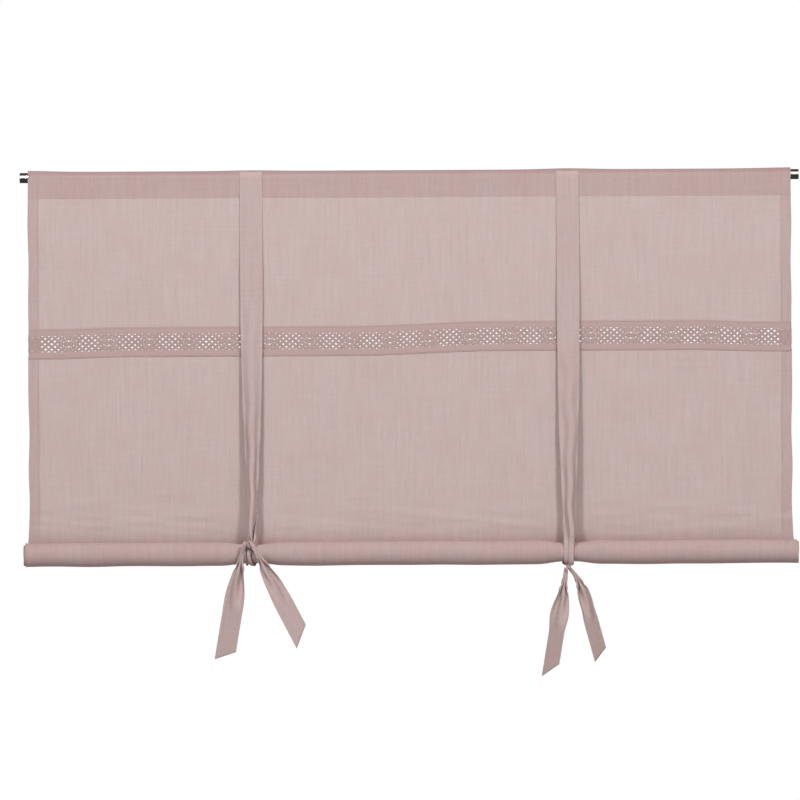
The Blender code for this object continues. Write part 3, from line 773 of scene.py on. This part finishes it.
# Zigzags: place share runs along the curtain, and the height swings evenly between the tapes. Each
# trail's three threads lie side by side, and a step across the slope is a longer step upwards.
share = np.linspace(0, LACE_REPEATS, LACE_REPEATS * 28 + 1)
offset = (np.arange(TRAILS)[:, None] + 0.5) / TRAILS
swing = (share + offset) % 1.0
middle_z = OPEN_HALF * (4 * np.abs(swing - 0.5) - 1)
rising = np.where(swing < 0.5, 1.0, -1.0)
along = share * LACE_REPEAT + 0 * offset
place = np.stack([along, offset * 3 + 0 * along], axis=-1)
width = trail_width(along) * (1 + TRAIL_UNEVEN * ripples(place, 37, *UNEVEN_LENGTHS))
beside = np.array([-1.0, 0.0, 1.0])[:, None, None] * width / 3
last_z = OPEN_HALF + UNDER_TAPE
trail_z = np.clip(middle_z + beside * hypot(1, TRAIL_SLOPE), -last_z, last_z)
trail_x, trail_z = opened(along, trail_z)
trail_y = CROSSING_LIFT * rising * np.cos(2 * pi * TRAILS * share) + 0 * trail_z
trails = np.stack([trail_x, LACE_Y + trail_y, trail_z], axis=-1).reshape(-1, len(share), 3)
trail_widths = np.broadcast_to(width / 3 + THREAD_OVERLAP, trail_x.shape).reshape(-1, len(share))

eye_x = np.arange(1, LACE_REPEATS)[:, None] * LACE_REPEAT
turn = np.linspace(0, 2 * pi, 28, endpoint=False)
rings = np.stack(
    [
        eye_x + RING_SIZE * EYE_HALF_LENGTH * np.cos(turn),
        LACE_Y - CROSSING_LIFT + 0 * eye_x * turn,
        RING_SIZE * EYE_HALF_HEIGHT * np.sin(turn) + 0 * eye_x,
    ],
    axis=-1,
)
# The leaf's threads fan out from its tips: their height is a share of a parabola's.
fan = np.linspace(-1, 1, LEAF_THREADS)[None, :, None]
reach = np.linspace(-1, 1, 11)[None, None, :]
leaf_x = eye_x[:, :, None] + LEAF_TIPS * LEAF_HALF_LENGTH * reach + 0 * fan
leaf_z = LEAF_HALF_HEIGHT * fan * np.clip(1 - reach**2, 0, 1) + 0 * leaf_x
leaves = np.stack([leaf_x, LACE_Y + 0 * leaf_x, leaf_z], axis=-1).reshape(-1, 11, 3)
# Each bar goes from just inside the leaf's outline out to the eye's.
bar_turn = (np.arange(EYE_BARS)[None, :, None] + 0.5) * 2 * pi / EYE_BARS
outwards = np.linspace(0, 1, 3)
bar_length = BAR_ROOTS * LEAF_HALF_LENGTH * (1 - outwards) + EYE_HALF_LENGTH * outwards
bar_height = BAR_ROOTS * LEAF_HALF_HEIGHT * (1 - outwards) + EYE_HALF_HEIGHT * outwards
bar_x = eye_x[:, :, None] + np.cos(bar_turn) * bar_length
bar_z = np.sin(bar_turn) * bar_height + 0 * bar_x
bars = np.stack([bar_x, LACE_Y + 0 * bar_x, bar_z], axis=-1).reshape(-1, 3, 3)


def tape(middle_z):
    """A border as a closed band, thinner at its edges: ribs along it, and small even bumps where its
    threads cross."""
    sides = 2 * TAPE_RIBS
    along = np.linspace(0, 2 * HALF_PANEL, TAPE_STEPS + 1)
    # The outermost ribs lie close together, so that the edges stay crisp.
    face = np.concatenate([[-1, -0.97], np.linspace(-0.85, 0.85, TAPE_RIBS - 4), [0.97, 1]])
    around = np.concatenate([face, face[::-1]])
    front = np.repeat([-1.0, 1.0], TAPE_RIBS)
    bump = TAPE_BUMP * np.cos(pi * np.arange(sides)) * np.cos(pi * np.arange(TAPE_STEPS + 1))[:, None]
    points = np.stack(
        [
            np.repeat(along[:, None], sides, axis=1),
            LACE_Y + front * (TAPE_THICKNESS / 2 * (1 - 0.7 * around**8) + bump),
            middle_z + around * LACE_BORDER / 2 + 0 * along[:, None],
        ],
        axis=-1,
    )
    row, column = np.meshgrid(np.arange(TAPE_STEPS) * sides, np.arange(sides), indexing="ij")
    after = (column + 1) % sides
    corners = [row + column, row + sides + column, row + sides + after, row + after]
    faces = np.stack(corners, axis=-1).reshape(-1, 4)
    rib = np.arange(TAPE_RIBS - 1)
    end = np.stack([rib, rib + 1, sides - 2 - rib, sides - 1 - rib], axis=-1)
    faces = np.concatenate([faces, end, end[:, ::-1] + TAPE_STEPS * sides])
    return points.reshape(-1, 3), faces, points[..., [2, 0]].reshape(-1, 2)


tape_middle = LACE_HEIGHT / 2 - LACE_BORDER / 2
lace_points, lace_faces, lace_flat = joined(
    [
        swept_threads(trails, trail_widths, THREAD_THICKNESS),
        swept_threads(rings, THREAD_WIDTH, THREAD_THICKNESS, closed=True),
        swept_threads(leaves, THREAD_WIDTH, THREAD_THICKNESS),
        swept_threads(bars, THREAD_WIDTH, THREAD_THICKNESS),
        tape(tape_middle),
        tape(-tape_middle),
    ]
)
lace_points[:, 0] -= HALF_PANEL
lace_points[:, 1] -= drape(lace_points[:, 0], lace_points[:, 2] + LACE_MIDDLE_Z)
lace_points[:, 2] += LACE_MIDDLE_Z + lace_rise(lace_points[:, 0])
lace = add_faces("lace_insertion", lace_points, lace_faces, lace_flat)

cotton, tree, shader = new_material("rose_lace_cotton")
flat = add_node(tree, "ShaderNodeUVMap", uv_map="flat").outputs[0]
lay_of_threads = {"Vector": flat, "Scale": 2 * pi / (20 * LAY_LENGTH), "Distortion": 1.5, "Detail": 1.0}
lay = add_node(tree, "ShaderNodeTexWave", lay_of_threads, bands_direction="DIAGONAL").outputs[1]
fluff = scaled_noise(tree, flat, (FLUFF, FLUFF))
# The lay's bands are painted shade, darker in the grooves of the twisted threads; the fluff varies the tone
# at random.
lit = weighted_sum(tree, [(lay, 0.4), (fluff, 0.5)], 0.7)
tree.links.new(mix_colours(tree, lit, LACE_SHADE, LACE_COLOUR), shader.inputs["Base Color"])
bump = add_node(tree, "ShaderNodeBump", {"Height": lay, "Distance": 0.0002, "Strength": 0.6})
tree.links.new(bump.outputs[0], shader.inputs["Normal"])
shader.inputs["Roughness"].default_value = 0.85
shader.inputs["Specular IOR Level"].default_value = 0.25
lace.data.materials.append(cotton)
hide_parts("lace_band")
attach(lace, "root")


# The tie bands: four straps of the same cloth, sewn over the top of the heading. The front ones hang
# in front, the back ones pass behind the cloth and under the roll. Each pair is tied in a half knot,
# and the ends, cut on the slant, hang down.
BAND_WIDTH = 0.036
BAND_THICKNESS = 0.0006
BAND_RADIUS = 0.01015
STRAND_WIDTH = 0.0050
STRAND_DEPTH = 0.00504
BAND_PLEATS = 1.0
TAIL_PLEATS = 1.5
KNOT_PLEATS = 3.5
BAND_CRUMPLED = 0.75  # how far a band is drawn together where it starts to get the knot's pleats
TAIL_CRUMPLED = 0.60
TIGHTEST_MEANDER = 2.35  # radians, as the phases below
FOLD_REACH = 0.08
FOLD_STRAY = 0.3
FOLD_STRAY_LENGTHS = ((0.25,), (0.06,))
PRESSED = 0.3  # of the pleats' depth, beside the roll
BESIDE_ROLL = 0.003
BAND_COLUMNS = 37
BAND_STEP = 0.0028
SEAT_GAP = 0.0003
PINCHED_RADIUS = ROLL_RADIUS - PINCH_DEPTH
WRAP_RADIUS = PINCHED_RADIUS + SEAT_GAP + 0.2 * STRAND_DEPTH
WRAP_SLACK = 0.0036
TWIST_RADIUS = STRAND_DEPTH / 2 + 0.0018
KNOT_SEAT_RADIUS = PINCHED_RADIUS + SEAT_GAP + STRAND_DEPTH / 2
KNOT_RADIUS = KNOT_SEAT_RADIUS + TWIST_RADIUS
KNOT_NECK = 0.004
GATHER = 0.19
FULLY_OPEN = 0.96
LOOP_RISE = 0.006
LOOP_TURNS = (radians(30), radians(-20))
TAIL_RADIUS = ROLL_RADIUS + SEAT_GAP + STRAND_DEPTH / 2
TAIL_SETTLE = 0.012
CUT_LENGTH = 0.06
CORNER_ROUNDING = 0.004
# knot_rise: how far the knot lies above the place where the front band touches the roll. neck: a
# band's width where it goes into the knot. fold: the pleats' phase far from the knot and near it.
# spacing: from strand to strand in the knot. loop: where the front band lies over the knot, in
# spacings. opening: how far from the knot a tail is as wide as the band. A tail drops so far below
# the knot, drifts sideways by its flare at once and its slope all the way, turns over its turning's
# stretch, and has one side cut longer than the other.
LEFT_TIE = {
    "x": -TIE_OFFSET,
    "knot_rise": 0.012,
    "neck": 0.010,
    "fold": (pi, 1.5 * pi),
    "spacing": 0.0076,
    "loop": (-0.95, -1.15),
    "opening": 0.105,
    "front_tail": dict(
        drop=0.175, flare=-0.0015, slope=-0.168, turn=radians(30), turning=(0.045, 0.11), cut=0.017
    ),
    "back_tail": dict(
        drop=0.144, flare=0.001, slope=0.52, turn=radians(-36), turning=(0.03, 0.09), cut=0.026
    ),
}
RIGHT_TIE = {
    "x": TIE_OFFSET,
    "knot_rise": -0.025,
    "neck": 0.014,
    "fold": (0.85 * pi, 0.6 * pi),
    "spacing": 0.0042,
    "loop": (-0.85, -0.95),
    "opening": 0.092,
    "front_tail": dict(
        drop=0.163, flare=0.001, slope=-0.165, turn=radians(50), turning=(0.04, 0.10), cut=0.024
    ),
    "back_tail": dict(
        drop=0.139, flare=0.011, slope=0.27, turn=radians(-50), turning=(0.02, 0.075), cut=0.016
    ),
}
BAND_SINGLE = (0.530, 0.424, 0.411, 1)
# The bands' colour with painted shade, where cloth would lie double; the bands' mark is 0 throughout.
BAND_IN_PAINTED_SHADE = (0.520, 0.385, 0.370, 1)
# Where the front band, hanging in a slack curve from the heading, first touches the roll.
TOUCH_ANGLE = atan2(2 * (WRAP_RADIUS - ROLL_Y - BAND_RADIUS), ROLL_DROP)


def roll_points(x, angle, radius):
    """Points round the roll's axis: angle 0 is its front, a quarter turn its top."""
    x, angle, radius = np.broadcast_arrays(x, angle, radius)
    return np.stack([x, ROLL_Y - radius * np.cos(angle), radius * np.sin(angle) - ROLL_DROP], axis=-1)


def knot_frame(tie):
    """The knot's angle round the roll, and how far above the touching point it hangs free."""
    rise = tie["knot_rise"]
    return (TOUCH_ANGLE, rise) if rise >= 0 else (TOUCH_ANGLE + rise / PINCHED_RADIUS, 0.0)


def knot_points(tie, across, turn, reach=TWIST_RADIUS):
    """Points round the knot's own axis, which runs along X in front of the roll or under it: turn 0 is
    away from the roll, a quarter turn is up along the bands. across is in knot spacings."""
    angle, rise = knot_frame(tie)
    outward = np.array([0, -cos(angle), sin(angle)])
    along = np.array([0, sin(angle), cos(angle)])
    across, turn = np.atleast_1d(across)[:, None], np.atleast_1d(turn)[:, None]
    middle = roll_points(tie["x"] + (across[:, 0] - 0.5) * tie["spacing"], angle, KNOT_RADIUS) + rise * along
    return middle + reach * (np.cos(turn) * outward + np.sin(turn) * along)


def heading_points(tie, first, last):
    """The band's sewn end, bent over the top of the heading."""
    angle = np.linspace(first, last, 7)
    return np.stack([0 * angle + tie["x"], BAND_RADIUS * np.cos(angle), BAND_RADIUS * np.sin(angle)], axis=-1)


def tail_points(tie, tail, start):
    """Down from the knot, no further forward than the roll needs, flaring and drifting sideways: the
    flare and the way forward both die out as exp(-fallen / TAIL_SETTLE)."""
    bottom = knot_points(tie, 0.0, 0.0, 0.0)[0, 2] - tail["drop"]
    rest_y = max(start[1], ROLL_Y - TAIL_RADIUS)
    fallen = (start[2] - bottom) * (np.arange(1, 25) / 24) ** 1.4
    settled = np.exp(-fallen / TAIL_SETTLE)
    x = start[0] + tail["flare"] * (1 - settled) + tail["slope"] * fallen
    return np.stack([x, rest_y + (start[1] - rest_y) * settled, start[2] - fallen], axis=-1)


def front_route(tie):
    """From the top of the heading down the front in a slack curve, round the roll where the knot is
    that low, through the knot, over it and down as a tail."""
    angle, rise = knot_frame(tie)
    if rise:
        landing = knot_points(tie, 0.5, pi)[0] + STRAND_WIDTH * np.array([0, sin(angle), cos(angle)])
        wrap = np.zeros((0, 3))
    else:
        landing = roll_points(tie["x"], TOUCH_ANGLE, WRAP_RADIUS)
        share = np.linspace(0, 1, 8)[1:]
        turns = TOUCH_ANGLE + (angle + STRAND_WIDTH / PINCHED_RADIUS - TOUCH_ANGLE) * share
        wrap = roll_points(tie["x"], turns, WRAP_RADIUS + WRAP_SLACK * smooth_step(share))
    share = np.linspace(0, 1, 41)[1:]
    drop_y = (landing[1] + BAND_RADIUS) * share**2 - BAND_RADIUS
    drop = np.stack([0 * share + tie["x"], drop_y, landing[2] * share], axis=-1)
    turn = np.linspace(pi, 2.25 * pi, 9)
    knot = knot_points(tie, 0.5 - (turn - pi) / pi, turn)
    over = [knot_points(tie, at, turned, LOOP_RISE) for at, turned in zip(tie["loop"], LOOP_TURNS)]
    before = [heading_points(tie, pi / 2, pi), drop, wrap]
    return before, [knot, *over], tail_points(tie, tie["front_tail"], over[-1][0])


def back_route(tie):
    """From the top of the heading down behind the cloth, under the roll, up its face to the knot,
    through it and down as a tail."""
    angle, _ = knot_frame(tie)
    heading = heading_points(tie, pi / 2, 0)
    landing = roll_points(tie["x"], pi, WRAP_RADIUS)
    drop = heading[-1] + (landing - heading[-1]) * np.linspace(0, 1, 30)[1:-1, None]
    turns = np.linspace(-pi, angle - STRAND_WIDTH / PINCHED_RADIUS / 2, 18)
    share = np.linspace(0, 1, 18)
    radius = WRAP_RADIUS + (KNOT_SEAT_RADIUS - WRAP_RADIUS) * share
    wrap = roll_points(tie["x"] - tie["spacing"] * smooth_step(share), turns, radius)
    turn = np.linspace(pi, 0, 7)
    knot = knot_points(tie, 0.5 - turn / pi, turn)
    return [heading, drop, wrap], [knot], tail_points(tie, tie["back_tail"], knot[-1])


def length_along(points):
    """How far along a route each of its points lies."""
    return np.concatenate([[0.0], np.cumsum(np.linalg.norm(np.diff(points, axis=0), axis=1))])


def evenly_spaced(points, step):
    """The route again, with a point every step metres, its corners rounded by a running mean."""
    distance = length_along(points)
    count = round(distance[-1] / step)
    even = np.linspace(0, distance[-1], count + 1)
    route = np.stack([np.interp(even, distance, points[:, axis]) for axis in range(3)], axis=-1)
    reach = round(CORNER_ROUNDING / step)
    window = np.hanning(2 * reach + 3)[1:-1]
    window /= window.sum()
    padded = np.pad(route, ((reach, reach), (0, 0)), mode="reflect", reflect_type="odd")
    return np.stack([np.convolve(padded[:, axis], window, mode="valid") for axis in range(3)], axis=-1), even


def swing_for(narrowing):
    """The meander's greatest angle for a band drawn together to that share of its width. A curve
    whose direction swings as a sine is as wide as the mean cosine of its directions."""
    angles = np.linspace(0, TIGHTEST_MEANDER, 120)
    around = np.linspace(0, 2 * pi, 73)[:-1]
    widths = np.cos(angles[:, None] * np.sin(around)).mean(axis=1)
    return np.interp(narrowing, widths[::-1], angles[::-1])


def route_axes(points):
    """At each point of a route: the way forward, the way across it that is nearest to X, and the way
    that the band faces."""
    forward = np.gradient(points, axis=0)
    forward /= np.linalg.norm(forward, axis=1, keepdims=True)
    width_axis = np.array([1.0, 0, 0]) - forward[:, :1] * forward
    width_axis /= np.linalg.norm(width_axis, axis=1, keepdims=True)
    return forward, width_axis, np.cross(forward, width_axis)


def band_width(tie, from_knot, in_tail):
    """Above the knot the band opens at once to its neck and then slowly, as 1 - exp(-(s / GATHER)^1.5),
    up to its full width well below the heading. Below the knot it opens in an even S."""
    opened_up = 1 - np.exp(-((from_knot / GATHER) ** 1.5))
    above = tie["neck"] + (BAND_WIDTH - tie["neck"]) * np.minimum(opened_up / FULLY_OPEN, 1)
    above = STRAND_WIDTH + (above - STRAND_WIDTH) * (1 - np.exp(-from_knot / KNOT_NECK))
    below = STRAND_WIDTH + (BAND_WIDTH - STRAND_WIDTH) * smooth_step(from_knot / tie["opening"])
    return np.where(in_tail, below, above)


def pleated(tie, width, place, from_knot, in_tail, seed):
    """The band's section at each place, as (across, deep): its direction swings as a sine, so that it
    falls into pleats where it is narrowed and keeps its full width of cloth everywhere."""
    across = np.linspace(0, 1, BAND_COLUMNS)
    narrowed = np.clip((BAND_WIDTH - width) / (BAND_WIDTH - STRAND_WIDTH), 0, 1)[:, None]
    pleats = np.where(in_tail, TAIL_PLEATS, BAND_PLEATS)[:, None]
    crumpled = np.where(in_tail, TAIL_CRUMPLED, BAND_CRUMPLED)[:, None]
    pleats = pleats + (KNOT_PLEATS - pleats) * smooth_step((narrowed - crumpled) / (1 - crumpled))
    far_fold, near_fold = tie["fold"]
    phase = near_fold + (far_fold - near_fold) * smooth_step(from_knot / FOLD_REACH)[:, None]
    phase = phase + FOLD_STRAY * ripples(place[:, None, None], seed, *FOLD_STRAY_LENGTHS, 6)
    swing = swing_for(width / BAND_WIDTH)[:, None]
    angle = swing * np.sin(2 * pi * pleats * (across - 0.5) + phase)
    step = BAND_WIDTH / (BAND_COLUMNS - 1)
    wide = np.cumsum(np.cos(angle), axis=1) * step
    deep = np.cumsum(np.sin(angle), axis=1) * step
    wide -= wide.mean(axis=1, keepdims=True)
    deep -= deep[:, :1] + (deep[:, -1:] - deep[:, :1]) * across
    deep -= deep.mean(axis=1, keepdims=True)
    return wide, deep


def make_band(name, node_name, tie, tail, route, seed):
    """The band as a sheet: its pleated section carried along its route, turned in the tail."""
    before, knot, after = route
    before, knot = np.concatenate(before), np.concatenate(knot)
    whole_route = np.concatenate([before, knot, after])
    distance = length_along(whole_route)
    knot_start, tail_start = distance[len(before)], distance[len(before) + len(knot) - 1]
    points, place = evenly_spaced(whole_route, BAND_STEP / 2)
    points, place = points[::2], place[::2]
    forward, width_axis, face_axis = route_axes(points)
    in_tail = place > tail_start
    from_knot = np.where(in_tail, place - tail_start, np.clip(knot_start - place, 0, None))
    width = band_width(tie, from_knot, in_tail)
    wide, deep = pleated(tie, width, place, from_knot, in_tail, seed)
    # The roll presses the pleats down where the band goes round it.
    beside_roll = np.hypot(points[:, 1] - ROLL_Y, points[:, 2] + ROLL_DROP) < TAIL_RADIUS + BESIDE_ROLL
    pressed = np.where(beside_roll & ~in_tail & (place < knot_start), PRESSED, 1.0)
    pressed = np.convolve(np.pad(pressed, 2, mode="edge"), np.ones(5) / 5, mode="valid")
    deep *= pressed[:, None]
    turn_start, turn_end = tail["turning"]
    turned = smooth_step((from_knot - turn_start) / (turn_end - turn_start))
    twist = np.where(in_tail, tail["turn"] * turned, 0.0)[:, None]
    turned_wide = np.cos(twist) * wide - np.sin(twist) * deep
    turned_deep = np.sin(twist) * wide + np.cos(twist) * deep
    # The slanted cut: the last stretch is drawn out more on one side than on the other.
    cut_share = smooth_step((place - (place[-1] - CUT_LENGTH)) / CUT_LENGTH)[:, None]
    slant = -tail["cut"] * cut_share * wide / BAND_WIDTH
    surface = (
        points[:, None, :]
        + turned_wide[..., None] * width_axis[:, None, :]
        + turned_deep[..., None] * face_axis[:, None, :]
        + slant[..., None] * forward[:, None, :]
    )
    # Each band shows another stretch of the weave.
    lengths = flat_places(np.linspace(0, BAND_WIDTH, BAND_COLUMNS), place) + 0.1 * seed
    band = add_surface(name, surface, lengths, doubled=0 * wide)
    give_thickness(band, BAND_THICKNESS)
    band.data.materials.append(rose_band)
    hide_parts(node_name)
    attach(band, "root")
    return band, place[-1]


rose_band = weave_finish("rose_band", BAND_SINGLE, BAND_IN_PAINTED_SHADE)
for side_name, tie, seed in (("left", LEFT_TIE, 31), ("right", RIGHT_TIE, 41)):
    front_name, back_name = f"front_band_{side_name}", f"back_band_{side_name}"
    front_node, back_node = f"front_tie_{side_name}", f"back_tie_{side_name}"
    make_band(front_name, front_node, tie, tie["front_tail"], front_route(tie), seed)
    make_band(back_name, back_node, tie, tie["back_tail"], back_route(tie), seed + 1)


# The sewing: fine cotton thread, in rows of small stitches along the pocket's seam, both edges of the
# lace and the side hems, also where these go round the roll.
STITCH_LENGTH = 0.0024
STITCH_SPACING = 0.0032
THREAD_RADIUS = 0.00022
ON_CLOTH = 0.0001
ON_LACE = 0.0008
FROM_EDGE = 0.0018
FROM_LACE = 0.003
HEM_SEAM_TOP_Z = 0.004
ABOVE_ROLL_AXIS = 0.020  # where the hanging cloth's hem seams end
ROLL_SEAM_TURNS = (0.06, pi + 0.7)  # how far round the roll they go, in radians
ROLL_HEM_SHIFT = 0.0035  # further out on the roll, whose ends stand out
THREAD_COLOUR = (0.50, 0.36, 0.345, 1)
# the thread's colour in its painted shade
THREAD_SHADE = (0.40, 0.28, 0.265, 1)


def stitches(middles, along, out):
    """A small closed capsule for each stitch: four rings of four points whose middles rise from the
    cloth and dip back in, capped at both ends."""
    along = along / np.linalg.norm(along, axis=-1, keepdims=True)
    aside = np.cross(along, out)
    share = np.array([-1.0, -0.5, 0.5, 1.0])[None, :, None, None]
    thick = THREAD_RADIUS * np.array([0.35, 1.0, 1.0, 0.35])[None, :, None, None]
    lift = np.array([-0.00018, 0.00012, 0.00012, -0.00018])[None, :, None, None]
    turn = np.array([0.25, 0.75, 1.25, 1.75])[None, None, :, None] * pi
    middles, along, aside, out = (part[:, None, None, :] for part in (middles, along, aside, out))
    points = middles + share * STITCH_LENGTH / 2 * along + lift * out
    points = points + thick * (np.cos(turn) * out + np.sin(turn) * aside)
    count = points.shape[0]
    ring, side = np.meshgrid(np.arange(3), np.arange(4), indexing="ij")
    after = (side + 1) % 4
    tube = np.stack([ring * 4 + side, (ring + 1) * 4 + side, (ring + 1) * 4 + after, ring * 4 + after], -1)
    faces = np.concatenate([tube.reshape(-1, 4), [[0, 1, 2, 3], [15, 14, 13, 12]]])
    faces = (np.arange(count)[:, None, None] * 16 + faces).reshape(-1, 4)
    points = points.reshape(-1, 3)
    return points, faces, points[:, [0, 2]]


def seam_row(x, z, lift, along):
    """Stitches on the front of the hanging cloth or lace, lift in front of the cloth's face."""
    middles = np.stack([x, PANEL_FRONT_Y - drape(x, z) - lift, z], axis=-1)
    out = np.broadcast_to(np.array([0.0, -1.0, 0.0]), middles.shape)
    return stitches(middles, np.broadcast_to(np.array(along, float), middles.shape), out)


seam_x = np.arange(-HALF_PANEL + 0.002, HALF_PANEL - 0.001, STITCH_SPACING)
rows = [seam_row(seam_x, 0 * seam_x + POCKET_SEAM_Z, ON_CLOTH, (1, 0, 0))]
for edge_z in (LACE_TOP_Z - FROM_EDGE, LACE_BOTTOM_Z + FROM_EDGE):
    points, faces, flats = seam_row(seam_x, 0 * seam_x + edge_z, ON_LACE, (1, 0, 0))
    points[:, 2] += lace_rise(points[:, 0])
    rows.append((points, faces, flats))
hem_z = np.concatenate(
    [
        np.arange(LACE_TOP_Z + FROM_LACE, HEM_SEAM_TOP_Z, STITCH_SPACING),
        np.arange(ABOVE_ROLL_AXIS - ROLL_DROP, LACE_BOTTOM_Z - FROM_LACE, STITCH_SPACING),
    ]
)
roll_turn = -np.linspace(*ROLL_SEAM_TURNS, 22) - pi
roll_out = np.stack([0 * roll_turn, -np.cos(roll_turn), np.sin(roll_turn)], axis=-1)
for side in (-1, 1):
    hem_x = HALF_PANEL - HEM_WIDTH + FROM_EDGE
    rows.append(seam_row(0 * hem_z + side * hem_x, hem_z, ON_CLOTH, (0, 0, 1)))
    middles = roll_points(side * (hem_x + ROLL_HEM_SHIFT), roll_turn, ROLL_RADIUS + ON_CLOTH)
    rows.append(stitches(middles, np.cross(roll_out, np.array([1.0, 0, 0])), roll_out))
sewing_points, sewing_faces, sewing_flat = joined(rows)
sewing = add_faces("sewing_thread", sewing_points, sewing_faces, sewing_flat)
thread, tree, shader = new_material("sewing_thread")
place = add_node(tree, "ShaderNodeTexCoord").outputs["Object"]
twisted = {"Vector": place, "Scale": 700.0, "Distortion": 1.0}
twist = add_node(tree, "ShaderNodeTexWave", twisted, bands_direction="DIAGONAL").outputs[1]
# The twist's bands are painted shade, darker in the grooves of the twisted thread.
tree.links.new(mix_colours(tree, twist, THREAD_SHADE, THREAD_COLOUR), shader.inputs["Base Color"])
shader.inputs["Roughness"].default_value = 0.7
sewing.data.materials.append(thread)
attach(sewing, "root")
